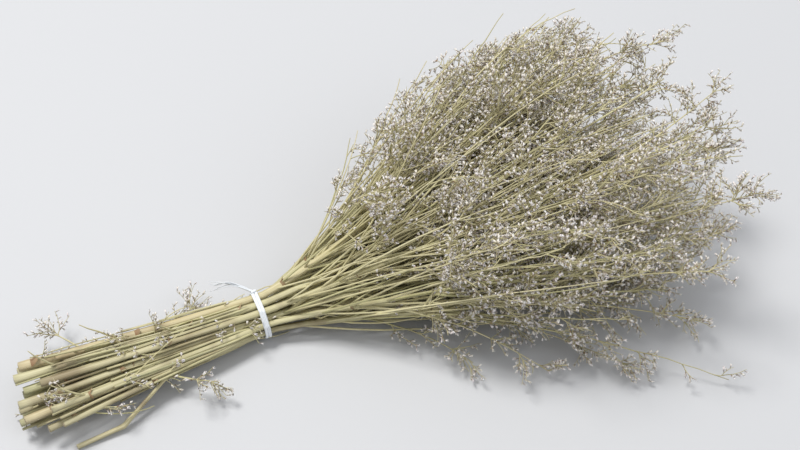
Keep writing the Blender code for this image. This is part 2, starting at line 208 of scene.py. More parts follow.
def rounded(t: float, blend: float) -> float:
    """Grows from 0 at t = 0 to 1 at t = 1, straight but for a soft start."""
    return (math.hypot(t, blend) - blend) / (math.hypot(1.0, blend) - blend)


def segment_distances(a0: Array, a1: Array, b0: Array, b1: Array) -> Array:
    """Least distances between segments.

    Args:
        a0, a1: (n, 3) ends of the first segments.
        b0, b1: (m, 3) ends of the others.

    Returns:
        (n, m) distances.
    """
    d1, d2 = (a1 - a0)[:, None], (b1 - b0)[None]
    r = a0[:, None] - b0[None]
    a, e = (d1 * d1).sum(2), (d2 * d2).sum(2)
    b, c, f = (d1 * d2).sum(2), (d1 * r).sum(2), (d2 * r).sum(2)
    s = np.clip((b * f - c * e) / np.maximum(a * e - b * b, 1e-16), 0, 1)
    t = np.clip((b * s + f) / np.maximum(e, 1e-16), 0, 1)
    s = np.clip((b * t - c) / np.maximum(a, 1e-16), 0, 1)
    return np.linalg.norm(r + s[..., None] * d1 - t[..., None] * d2, axis=2)


def at_x(strand: Strand, x: float) -> tuple[Array, Array]:
    """Reads a strand that runs along X.

    Args:
        strand: The strand.
        x: Where it is read.

    Returns:
        Its point there, and its direction.
    """
    p = strand.points
    k = min(max(int(np.searchsorted(p[:, 0], x)) - 1, 0), len(p) - 2)
    t = (x - p[k, 0]) / (p[k + 1, 0] - p[k, 0])
    return p[k] + (p[k + 1] - p[k]) * t, unit(p[k + 1] - p[k])


def leaving(direction: Array, turn: float, angle: float) -> Array:
    """A direction that leaves another.

    Args:
        direction: The other.
        turn: About the other, in radians.
        angle: Between the two.

    Returns:
        The direction, at length one.
    """
    side = unit(np.cross(direction, [0.0, 0.0, 1.0]))
    out = side * math.cos(turn) + np.cross(side, direction) * math.sin(turn)
    return unit(direction * math.cos(angle) + out * math.sin(angle))


def spray_points(here: Array, heading: Array, sag: float, length: float,
                 segments: int) -> list[Array]:
    """Points of a spray's end, which droops as it goes.

    Args:
        here: Where it starts.
        heading: Its direction there.
        sag: How much it droops at each point.
        length: Its length.
        segments: How many points it has.

    Returns:
        The points past its start.
    """
    points = []
    for _ in range(segments):
        heading = unit(heading + np.array([0, 0, -sag]))
        here = here + heading * length / segments
        points.append(here)
    return points


def bearing_strand(points: list[Array], first: int, radius: float, phase: float) -> Strand:
    """A branch or twig that carries florets.

    Args:
        points: Its corners from root to tip.
        first: Number of the point where the florets start.
        radius: Of its bare part.
        phase: Turn of its florets.

    Returns:
        The strand.
    """
    radii = np.full(len(points), radius)
    radii[0] = radius * 1.15
    radii[first:] = BRANCH.core_radius
    radii[-1] = BRANCH.core_radius * 0.5
    room = np.where(np.arange(len(points) - 1) < first, radius * 1.2, BRANCH.floret_reach)
    return Strand(np.array(points), radii, room, True, phase)


def branch_strand(start: Array, direction: Array, along: Array, length: float,
                  draw: Draw) -> Strand:
    """A branch: it leaves its stem, bends back to run beside it, then bears florets.

    Args:
        start: Where it leaves the stem.
        direction: Its direction there.
        along: The stem's direction there.
        length: Its length.
        draw: Random draws.

    Returns:
        The strand.
    """
    bare = length - BRANCH.spray_length
    knee = start + unit(direction * 0.9 + along * 0.1) * bare * 0.5
    neck = knee + unit(direction * 0.62 + along * 0.38) * bare * 0.5
    end = spray_points(neck, unit(direction + along), draw.uniform(-0.05, 0.06),
                       BRANCH.spray_length, BRANCH.spray_segments)
    return bearing_strand([start, knee, neck, *end], 2, BRANCH.radius, draw.uniform(0, 2))


def twig_strand(start: Array, direction: Array, along: Array, draw: Draw) -> Strand:
    """A short twig that bears florets for most of its length.

    Args:
        start: Where it leaves its parent.
        direction: Its direction there.
        along: The parent's direction there.
        draw: Random draws.

    Returns:
        The strand.
    """
    length = BRANCH.twig_length * draw.uniform(0.85, 1.25)
    neck = start + direction * length * 0.33
    end = spray_points(neck, unit(direction * 0.8 + along * 0.2), draw.uniform(-0.08, 0.08),
                       length * 0.67, BRANCH.twig_segments)
    return bearing_strand([start, neck, *end], 1, BRANCH.radius * 0.92, draw.uniform(0, 2))


def fork_strand(main: Strand) -> Strand:
    """The bare side stem at the front, kinked, from its root back to its cut end.

    Args:
        main: The main stem that it leaves.

    Returns:
        The strand.
    """
    points = np.array([at_x(main, BRANCH.fork_root)[0], *BRANCH.fork])
    radii = BRANCH.fork_radius * np.array([0.8, 1.05, 1.15])
    return Strand(points, radii, radii[1:], phase=0.4)


def head_top(reach: float) -> float:
    """The height that the head stays under, at that distance from the tie."""
    return float(np.interp(reach, *zip(*HEAD.top)))


def inside_head(point: Array) -> bool:
    """Tells whether a point is within the outline of the heads.

    Args:
        point: (x, y, z).

    Returns:
        True if it is.
    """
    angle = abs(math.atan2(point[1], point[0]))
    reach = HEAD.limit_reach - HEAD.limit_loss * (angle / HEAD.limit_angle) ** 1.6
    out = math.hypot(point[0], point[1])
    return out < reach and angle < HEAD.limit_angle and point[2] < head_top(out)


class Room:
    """What is already placed: every segment with its stem's number and the room it needs."""

    def __init__(self) -> None:
        """Starts with nothing placed."""
        self.start = np.zeros((0, 3))
        self.end = np.zeros((0, 3))
        self.room = np.zeros(0)
        self.owner = np.zeros(0, int)

    def add(self, strand: Strand, owner: int) -> None:
        """Places a strand.

        Args:
            strand: The strand.
            owner: Number of its stem.
        """
        self.start = np.vstack([self.start, strand.points[:-1]])
        self.end = np.vstack([self.end, strand.points[1:]])
        self.room = np.append(self.room, strand.room)
        self.owner = np.append(self.owner, np.full(len(strand.points) - 1, owner))

    def free(self, strand: Strand, owner: int, own_from: float = 0.014) -> bool:
        """Tells whether a strand has room.

        Args:
            strand: The strand to place.
            owner: Number of its stem.
            own_from: Length from its root over which it may touch its own stem.

        Returns:
            True if it clears every other stem, and its own past that length.
        """
        if (strand.points[1:, 2] < strand.room + 0.0001).any():
            return False
        if not len(self.start):
            return True
        a0, a1 = strand.points[:-1], strand.points[1:]
        gaps = segment_distances(a0, a1, self.start, self.end)
        need = strand.room[:, None] + self.room[None] + STEM.clear
        lengths = np.linalg.norm(a1 - a0, axis=1)
        past = (np.cumsum(lengths) - lengths > own_from)[:, None]
        return not ((gaps < need) & ((self.owner[None] != owner) | past)).any()


class Bunch:
    """Where every stem of the bunch runs, with its branches and twigs.

    Attributes:
        radii: (n,) radius of each stem at its cut end.
        slots: (n, 2) centres (y, z) of the stems in the tie.
        stems: The strands of each stem, its main stem first.
    """

    def __init__(self) -> None:
        """Grows the whole bunch."""
        self.draw = np.random.default_rng(SEED)
        self.room = Room()
        self.radii = STEM.radius + STEM.radius_spread * np.sin(2.4 * np.arange(STEM.count) + 0.6)
        self.slots = self.pack_slots(self.radii * STEM.tie_taper)
        self.stems: list[list[Strand]] = []
        for k in range(STEM.count):
            self.stems.append([])
            self.keep(self.place_main(k), k)
        for k in range(STEM.count):
            self.end_spray(k)
        front = min(range(STEM.count), key=lambda k: self.stems[k][0].points[0, 1])
        fork = fork_strand(self.stems[front][0])
        self.room.add(fork, front)
        for x, tip in REACHING:
            self.reach_out(x, np.array(tip))
        for order in range(BRANCH.count):
            for k in range(STEM.count):
                self.add_branch(k, order)
        for order in range(BRANCH.twigs):
            for k in range(STEM.count):
                self.add_twig(k, order)
        for order in range(BRANCH.low_twigs):
            self.add_low_twig(order)
        self.stems[front].append(fork)

    def keep(self, strand: Strand, owner: int) -> None:
        """Places a strand and lists it with its stem."""
        self.room.add(strand, owner)
        self.stems[owner].append(strand)

    @staticmethod
    def pack_slots(radii: Array) -> Array:
        """Draws circles together until they touch.

        Args:
            radii: (n,) their radii.

        Returns:
            (n, 2) centres (y, z) of the stems in the tie.
        """
        k = np.arange(len(radii))
        spread = 1.35 * np.sqrt((k + 0.5) / len(radii)) * radii.mean() * math.sqrt(len(radii))
        at = np.stack([spread * np.cos(k * GOLDEN_ANGLE), spread * np.sin(k * GOLDEN_ANGLE)], 1)
        need = radii[:, None] + radii[None, :] + STEM.gap
        floor = -0.0125
        for step in range(900):
            pull = 0.02 if step < 650 else 0.0
            at[:, 0] -= pull * STEM.flat_share * at[:, 0]
            at[:, 1] -= pull * at[:, 1] / STEM.flat_share
            for _ in range(6):
                apart = at[:, None] - at[None, :]
                far = np.linalg.norm(apart, axis=2) + np.eye(len(radii))
                short = np.maximum(need - far, 0.0) * (1 - np.eye(len(radii)))
                at += 0.5 * (apart / far[:, :, None] * short[:, :, None]).sum(1)
                at[:, 1] = np.maximum(at[:, 1], floor + radii)
        base = (at[:, 1] - radii).min()
        at[:, 0] -= (at[:, 0].min() + at[:, 0].max()) / 2
        at[:, 1] += STEM.tie_thickness + STEM.gap - base
        return at

    def cut_places(self) -> Array:
        """Spreads the stems out at the cut, turned, and low on the table.

        Returns:
            (n, 2) centres (y, z) there.
        """
        slots = self.slots
        middle = (slots.min(0) + slots.max(0)) / 2
        y, z = rotated((slots - middle).T, STEM.cut_twist)
        stray = STEM.cut_stray * np.clip(-y / np.abs(y).max(), 0, 1) ** 2
        return np.stack([STEM.cut_spread * y - STEM.cut_shift - stray,
                         STEM.radius + STEM.cut_rise * (z - z.min())], 1)

    def main_strand(self, owner: int, cut: Array, tip: Array) -> Strand:
        """A main stem: cut end, straight through the tie, then out to its far end.

        Args:
            owner: Its number.
            cut: Its cut end.
            tip: Its far end.

        Returns:
            The strand.
        """
        slot, radius = self.slots[owner], self.radii[owner]
        wave = self.draw.uniform(-1, 1, 2) * STEM.wave
        points, radii = [cut], [radius]
        for x in STEM.stations:
            if x <= cut[0] + 0.02 or x >= tip[0] - 0.02:
                continue
            end, blend = (tip, 0.05) if x > 0 else (cut, 0.2)
            t = (abs(x) - STEM.flat_half) / (abs(end[0]) - STEM.flat_half)
            yz = slot + (end[1:] - slot) * rounded(t, blend)
            tie_radius = radius * STEM.tie_taper
            if x > 0:
                yz = yz + wave * math.sin(math.pi * t)
                r = tie_radius + (STEM.tip_radius - tie_radius) * t ** 1.1
            else:
                r = tie_radius + (radius - tie_radius) * t
            points.append(np.array([x, yz[0], max(yz[1], r + 0.0002)]))
            radii.append(r)
        points.append(tip)
        radii.append(STEM.tip_radius)
        points, radii = np.array(points), np.array(radii)
        room = np.maximum(radii[:-1], radii[1:])
        room[points[:-1, 0] < 0.05] -= STEM.clear / 2
        return Strand(points, radii, room, phase=self.draw.uniform(0, 1.2))

    def place_main(self, owner: int) -> Strand:
        """A main stem that clears those placed before it.

        Args:
            owner: Its number.

        Returns:
            The strand.

        Raises:
            ValueError: If no try finds room.
        """
        draw, slots = self.draw, self.slots
        middle = (slots.min(0) + slots.max(0)) / 2
        u, v = rotated((slots[owner] - middle) / np.abs(slots - middle).max(0), HEAD.twist)
        fanned = self.cut_places()
        for attempt in range(6 * TRIES):
            stray = 1 + attempt / 40
            angle = HEAD.fan_angle * u + draw.uniform(-0.05, 0.05) * stray
            reach = HEAD.reach - (HEAD.reach - HEAD.side_reach) * abs(u) ** 1.6
            reach -= 0.03 * max(v, 0)
            reach += draw.uniform(-0.035, 0.0)
            z = HEAD.middle_z + HEAD.half_height * v + draw.uniform(-0.006, 0.006) * stray
            z = min(max(z, 0.0075), head_top(reach + BRANCH.spray_length) - 0.014)
            tip = np.array([reach * math.cos(angle), reach * math.sin(angle), z])
            y, z = fanned[owner] + draw.uniform(-0.001, 0.001, 2) * (stray - 1)
            cut = np.array([STEM.cut_x + draw.uniform(*STEM.cut_uneven), y,
                            max(z, self.radii[owner] + 0.0002)])
            strand = self.main_strand(owner, cut, tip)
            if self.room.free(strand, owner):
                return strand
        raise ValueError(f"no room for stem {owner}")

    def end_spray(self, owner: int) -> None:
        """Adds the spray that ends a main stem.

        Args:
            owner: Number of the stem.
        """
        main, draw = self.stems[owner][0], self.draw
        heading = unit(main.points[-1] - main.points[-2])
        points = [main.points[-1] - heading * 0.004, main.points[-1]]
        for attempt in range(TRIES):
            bent = unit(heading + draw.uniform(-0.01, 0.01, 3) * attempt)
            end = spray_points(points[-1], bent, draw.uniform(-0.04, 0.04),
                               BRANCH.spray_length * 1.1, BRANCH.spray_segments)
            strand = bearing_strand([*points, *end], 1, STEM.tip_radius * 0.95,
                                    draw.uniform(0, 2))
            if self.room.free(strand, owner, 0.05):
                self.keep(strand, owner)
                return

    def reach_out(self, x: float, tip: Array) -> None:
        """Adds a long spray, from whichever stem can send one.

        Args:
            x: Where it leaves its stem, about.
            tip: Where it ends.
        """
        starts = [at_x(strands[0], x) for strands in self.stems]
        for k in np.argsort([np.linalg.norm(start - tip) for start, _ in starts]):
            for attempt in range(8):
                start, along = at_x(self.stems[k][0], x + 0.01 * attempt)
                chord = np.linalg.norm(tip - start)
                bend = start + along * chord * (0.42 - 0.04 * attempt)
                bend[2] = max(bend[2], tip[2])
                bare = 1 - BRANCH.spray_length * 1.15 / chord
                points = [start * (1 - t) ** 2 + bend * 2 * t * (1 - t) + tip * t * t
                          for t in (0.0, 0.3, 0.62, *np.linspace(bare, 1, 5))]
                strand = bearing_strand(points, 3, BRANCH.radius, self.draw.uniform(0, 2))
                if self.room.free(strand, k):
                    self.keep(strand, k)
                    return
        LOG.warning("no stem can reach %s", tip)

    def add_branch(self, owner: int, order: int) -> None:
        """Adds the next branch of a stem, where there is room for one.

        Args:
            owner: Number of the stem.
            order: How many branches of the stem came before it.
        """
        draw, stem = self.draw, self.stems[owner][0]
        low, high = BRANCH.starts
        high = min(high, stem.points[-1, 0] - 0.05)
        for attempt in range(TRIES):
            x = low + (high - low) * (order + draw.uniform(0.0, 1.0)) / BRANCH.count
            start, along = at_x(stem, x)
            turn = order * GOLDEN_ANGLE + owner + draw.uniform(-0.5, 0.5) + attempt * 0.7
            direction = leaving(along, turn, BRANCH.angle * draw.uniform(0.5, 1.6))
            length = draw.uniform(*BRANCH.lengths) * (1 - 0.008 * attempt)
            strand = branch_strand(start, direction, along, length, draw)
            if inside_head(strand.points[-1]) and self.room.free(strand, owner):
                self.keep(strand, owner)
                return

    def add_twig(self, owner: int, order: int) -> None:
        """Adds a short twig full of florets to one of the stem's sprays.

        Args:
            owner: Number of the stem.
            order: How many twigs of the stem came before it.
        """
        draw, parents = self.draw, self.stems[owner][1:]
        for attempt in range(TRIES):
            parent = parents[(order + attempt // 12) % len(parents)]
            k = int(draw.integers(max(len(parent.points) - 6, 1), len(parent.points) - 2))
            start = parent.points[k] + (parent.points[k + 1] - parent.points[k]) * 0.5
            along = unit(parent.points[k + 1] - parent.points[k])
            direction = leaving(along, draw.uniform(0, 2 * math.pi),
                                BRANCH.twig_angle * draw.uniform(0.7, 1.3))
            strand = twig_strand(start, direction, along, draw)
            if inside_head(strand.points[-1] * 0.97) and self.room.free(strand, owner, 0.008):
                self.keep(strand, owner)
                return

    def add_low_twig(self, order: int) -> None:
        """Adds a twig to an outer stem between the cut ends and the tie.

        Args:
            order: How many of them came before it.
        """
        draw = self.draw
        for _ in range(4 * TRIES):
            k = int(draw.integers(STEM.count))
            share = (order + draw.uniform(0, 1)) / BRANCH.low_twigs
            start, along = at_x(self.stems[k][0], BRANCH.low_start + BRANCH.low_run * share)
            turn = draw.uniform(0, 2 * math.pi)
            direction = leaving(along * draw.choice([-1, 1]), turn, draw.uniform(0.35, 0.8))
            strand = twig_strand(start, direction, along, draw)
            if self.room.free(strand, k):
                self.keep(strand, k)
                return


FULL_TURN = 2 * math.pi
WHITE, BLACK = (1.0, 1.0, 1.0), (0.0, 0.0, 0.0)
DRY_BROWN = (0.17, 0.11, 0.06)


@dataclass(frozen=True)
class FineLimits:
    """Where the twigs and florets that have no solid may grow."""

    low: tuple[float, float, float] = (-0.187, -0.190, 0.0035)
    high: tuple[float, float, float] = (0.386, 0.148, 0.1515)
    floor: float = 0.00002        # height that every point keeps above the table
    plan: tuple[tuple[float, float], ...] = (     # angle in degrees, reach from the tie
        (-36, 0.20), (-33, 0.26), (-19, 0.325), (-12, 0.355), (-8, 0.388), (-3, 0.378),
        (4, 0.350), (15, 0.338), (22, 0.352), (33, 0.27), (38, 0.20))
    back: tuple[tuple[float, float], ...] = (     # X, most that Y and Z add up to
        (0.03, 0.08), (0.068, 0.122), (0.156, 0.204), (0.20, 0.222))
    low_end: float = 0.03         # along X, of the twigs about the tie
    low_top: float = 0.044        # height that those stay under


FINE = FineLimits()


class Skin(IntEnum):
    """Material slots of every stem piece, in order."""

    STALK = 0
    TWIG = 1
    FLORET = 2
    BRACT = 3
    PITH = 4


@dataclass
class Growth:
    """Triangles gathered for one piece, with what the materials read from them.

    Attributes:
        verts, faces, skins: Lists of arrays, one entry for each batch added.
        tones: Per vertex (rim, chance, age, 1), read by the materials as one colour.
        uvs: Per vertex (round, along) for fibres; along is in metres.
        count: Vertices added so far.
    """

    verts: list[Array] = field(default_factory=list)
    faces: list[Array] = field(default_factory=list)
    skins: list[Array] = field(default_factory=list)
    tones: list[Array] = field(default_factory=list)
    uvs: list[Array] = field(default_factory=list)
    count: int = 0

    def add(self, verts: Array, faces: Array, skin: int | Array, tones: Values,
            uvs: Array) -> None:
        """Adds a batch of triangles.

        Args:
            verts: (n, 3) points.
            faces: (m, 3) indices into verts.
            skin: Material slot, one for the batch or one for each face.
            tones: (n, 3) values, or three values for the whole batch.
            uvs: (n, 2) values.
        """
        self.verts.append(verts)
        self.faces.append(faces + self.count)
        self.skins.append(np.broadcast_to(skin, len(faces)))
        full = np.ones((len(verts), 4))
        full[:, :3] = tones
        self.tones.append(full)
        self.uvs.append(uvs)
        self.count += len(verts)

    def triangles(self) -> int:
        """How many triangles have been added."""
        return sum(len(faces) for faces in self.faces)

    def build(self, name: str, materials: list[bpy.types.Material]) -> bpy.types.Object:
        """Makes the object that holds everything added so far.

        Args:
            name: Of the object and its mesh.
            materials: One for each slot.

        Returns:
            The object, linked to the scene.
        """
        verts, faces = np.concatenate(self.verts), np.concatenate(self.faces)
        verts[:, 2] = np.maximum(verts[:, 2], FINE.floor)
        mesh = bpy.data.meshes.new(name)
        mesh.vertices.add(len(verts))
        mesh.vertices.foreach_set("co", verts.astype(np.float32).ravel())
        mesh.loops.add(len(faces) * 3)
        mesh.loops.foreach_set("vertex_index", faces.astype(np.int32).ravel())
        mesh.polygons.add(len(faces))
        mesh.polygons.foreach_set("loop_start", np.arange(0, len(faces) * 3, 3, dtype=np.int32))
        mesh.polygons.foreach_set("material_index", np.concatenate(self.skins).astype(np.int32))
        mesh.polygons.foreach_set("use_smooth", np.ones(len(faces), bool))
        tone = mesh.attributes.new("tone", "FLOAT_COLOR", "POINT")
        tone.data.foreach_set("color", np.concatenate(self.tones).astype(np.float32).ravel())
        uv = mesh.uv_layers.new(name="fibre")
        uvs = np.concatenate(self.uvs)[faces.ravel()]
        uv.data.foreach_set("uv", uvs.astype(np.float32).ravel())
        for material in materials:
            mesh.materials.append(material)
        mesh.update(calc_edges=True)
        mesh.validate()
        piece = bpy.data.objects.new(name, mesh)
        bpy.context.scene.collection.objects.link(piece)
        return piece


def smooth_line(points: Array, step: float) -> tuple[Array, Array]:
    """A smooth curve through points.

    Args:
        points: (n, 3) corners, or a list of them.
        step: Length between samples, about.

    Returns:
        The sampled curve, and each sample's share of the way along it.
    """
    points = np.asarray(points, float)
    ends = np.vstack([2 * points[0] - points[1], points, 2 * points[-1] - points[-2]])
    lengths = np.linalg.norm(np.diff(points, axis=0), axis=1)
    out, shares, run = [], [], 0.0
    for k, length in enumerate(lengths):
        count = max(1, int(round(length / step)))
        t = np.arange(count)[:, None] / count
        p0, p1, p2, p3 = ends[k:k + 4]
        m1, m2 = ((b - a) * 0.4 for a, b in ((p0, p2), (p1, p3)))
        m1, m2 = (m / max(np.linalg.norm(m), 1e-9) * length for m in (m1, m2))
        out.append((2 * t**3 - 3 * t**2 + 1) * p1 + (t**3 - 2 * t**2 + t) * m1
                   + (-2 * t**3 + 3 * t**2) * p2 + (t**3 - t**2) * m2)
        shares.append(run + t[:, 0] * length)
        run += length
    out.append(points[-1:])
    shares.append([run])
    return np.concatenate(out), np.concatenate(shares) / run


def swayed(line: Array, amount: float, draw: Draw) -> Array:
    """Moves every point of a line but its ends a little.

    Args:
        line: (n, 3) points.
        amount: How far, on average.
        draw: Random draws.

    Returns:
        The moved line.
    """
    sway = draw.normal(0, amount, line.shape)
    sway[0] = sway[-1] = 0
    return line + sway


def line_at(line: Array, shares: Array, t: Array) -> tuple[Array, Array]:
    """Reads a sampled line.

    Args:
        line: (n, 3) samples.
        shares: (n,) each sample's share of the way.
        t: (m,) shares to read at.

    Returns:
        (m, 3) points, and the directions there.
    """
    k = np.clip(np.searchsorted(shares, t) - 1, 0, len(line) - 2)
    f = ((t - shares[k]) / (shares[k + 1] - shares[k]))[:, None]
    step = line[k + 1] - line[k]
    return line[k] + step * f, step / np.linalg.norm(step, axis=1, keepdims=True)


def ring_frames(points: Array) -> tuple[Array, Array]:
    """A side and an up vector at each point, carried along without twisting.

    Args:
        points: (n, 3) centre line.

    Returns:
        (n, 3) side vectors and (n, 3) up vectors.
    """
    tangents = np.gradient(points, axis=0)
    tangents /= np.linalg.norm(tangents, axis=1)[:, None]
    side = unit(np.cross(tangents[0], [0.0, 0.02, 1.0]))
    sides = []
    for tangent in tangents:
        side = unit(side - tangent * side.dot(tangent))
        sides.append(side)
    return np.array(sides), np.cross(tangents, sides)


def band(row: Array, following: Array, sides: int) -> Array:
    """Triangles between rings.

    Args:
        row: Index of the first point of each ring.
        following: Index of the first point of the ring that each is joined to.
        sides: Points in a ring.

    Returns:
        (m, 3) triangles.
    """
    i = np.arange(sides)
    j = (i + 1) % sides
    a, b, c, d = row + i, row + j, following + j, following + i
    return np.concatenate([np.stack([a, b, c], -1), np.stack([a, c, d], -1)]).reshape(-1, 3)


def tube_faces(count: int, sides: int) -> Array:
    """Triangles of an open tube of count rings."""
    rows = np.arange(count - 1)[:, None] * sides
    return band(rows, rows + sides, sides)


def tube(growth: Growth, line: Array, radii: Array, sides: int, skin: Skin | int, tones: Values,
         ridges: float = 0.0) -> None:
    """Adds one tube with closed ends.

    Args:
        growth: What it is added to.
        line: (n, 3) centre line.
        radii: (n,) radii.
        sides: Points in a ring.
        skin: Its material slot.
        tones: (n, 3) values, or three for the whole tube.
        ridges: Depth of its lengthwise ridges, as a share of the radius.
    """
    count = len(line)
    side, up = (axes[:, None] for axes in ring_frames(line))
    turns = FULL_TURN * np.arange(sides) / sides
    grooves = 1 + ridges * np.cos(3 * turns + 0.7) + 0.5 * ridges * np.cos(5 * turns)
    ring = radii[:, None] * grooves[None]
    verts = line[:, None] + ring[..., None] * (side * np.cos(turns)[None, :, None]
                                               + up * np.sin(turns)[None, :, None])
    run = np.concatenate([[0], np.cumsum(np.linalg.norm(np.diff(line, axis=0), axis=1))])
    uvs = np.stack(np.broadcast_arrays(turns[None] / FULL_TURN, run[:, None]), -1)
    verts = np.vstack([verts.reshape(-1, 3), line[:1], line[-1:]])
    uvs = np.vstack([uvs.reshape(-1, 2), [[0.5, run[0]], [0.5, run[-1]]]])
    i = np.arange(sides)
    j = (i + 1) % sides
    last, near = (count - 1) * sides, np.full(sides, count * sides)
    faces = np.vstack([tube_faces(count, sides), np.stack([near, j, i], 1),
                       np.stack([near + 1, last + i, last + j], 1)])
    tones = np.asarray(tones, float)
    if tones.ndim == 2:
        tones = np.vstack([np.repeat(tones, sides, axis=0), tones[:1], tones[-1:]])
    growth.add(verts, faces, skin, tones, uvs)


def wires(growth: Growth, lines: Array, root: float, tip: float, chance: Array,
          age: float) -> None:
    """Adds many fine three-sided twigs at once.

    Args:
        growth: What they are added to.
        lines: (n, p, 3) centre lines.
        root, tip: Radii at both ends.
        chance: (n,) a random value for each twig.
        age: How far towards the tips of the stem these twigs are, 0 to 1.
    """
    if not len(lines):
        return
    sides = 3
    count, steps = lines.shape[:2]
    tangent = units(np.gradient(lines, axis=1))
    lean = np.where(np.abs(tangent[:, :1, 2:]) > 0.85, [[[1.0, 0, 0]]], [[[0, 0, 1.0]]])
    side = units(np.cross(tangent, np.broadcast_to(lean, tangent.shape)))
    up = np.cross(tangent, side)
    radii = np.linspace(root, tip, steps)[None, :, None, None]
    turns = FULL_TURN * np.arange(sides) / sides
    ring = side[:, :, None] * np.cos(turns)[:, None] + up[:, :, None] * np.sin(turns)[:, None]
    verts = (lines[:, :, None] + radii * ring).reshape(-1, 3)
    each = steps * sides
    faces = (np.arange(count)[:, None, None] * each + tube_faces(steps, sides)).reshape(-1, 3)
    tones = np.zeros((len(verts), 3))
    tones[:, 1] = np.repeat(chance, each)
    tones[:, 2] = age
    run = np.tile(np.repeat(np.linspace(0, 0.02, steps), sides), count)
    uvs = np.stack([np.tile(turns / FULL_TURN, count * steps), run + tones[:, 1]], 1)
    growth.add(verts, faces, Skin.TWIG, tones, uvs)


def room_left(lines: Array, outlying: bool = False) -> Array:
    """Tells which fine twigs may grow.

    Args:
        lines: (n, p, 3) centre lines.
        outlying: True for those of a spray that stands outside the head.

    Returns:
        (n,) True for each that stays in the box, and ends inside the head or low by the tie.
    """
    boxed = ((lines > FINE.low) & (lines < FINE.high)).all(axis=(1, 2))
    x, y, z = lines[:, -1].T
    out = np.hypot(x, y)
    reach = np.interp(np.degrees(np.arctan2(y, x)), *zip(*FINE.plan), left=0, right=0)
    inside = (out < reach) & (z < np.interp(out, *zip(*HEAD.top)))
    inside &= y + z < np.interp(x, *zip(*FINE.back))
    low_enough = (x < FINE.low_end) & (lines[..., 2].max(axis=1) < FINE.low_top)
    return boxed & (inside | low_enough | outlying)


def across(directions: Array, draw: Draw) -> Array:
    """A random unit vector square to each direction."""
    free = draw.normal(0, 1, directions.shape)
    return units(free - directions * (free * directions).sum(-1, keepdims=True))


def fanned(along: Array, angles: Array, draw: Draw) -> Array:
    """Directions that leave others by those angles, each to a random side."""
    return along * np.cos(angles)[:, None] + across(along, draw) * np.sin(angles)[:, None]


def arcs(starts: Array, headings: Array, outs: Array, lengths: Array, bend: float,
         steps: int) -> Array:
    """Curves that bend as they go.

    Args:
        starts: (n, 3) roots.
        headings: (n, 3) directions at the roots.
        outs: (n, 3) directions that they bend towards.
        lengths: (n,) lengths.
        bend: How strongly they bend.
        steps: Points on each.

    Returns:
        (n, steps, 3) points.
    """
    t = np.linspace(0, 1, steps)[None, :, None]
    forward = headings[:, None] * (t - 0.18 * bend * t**2)
    return starts[:, None] + lengths[:, None, None] * (forward + outs[:, None] * bend * t**2 / 2)


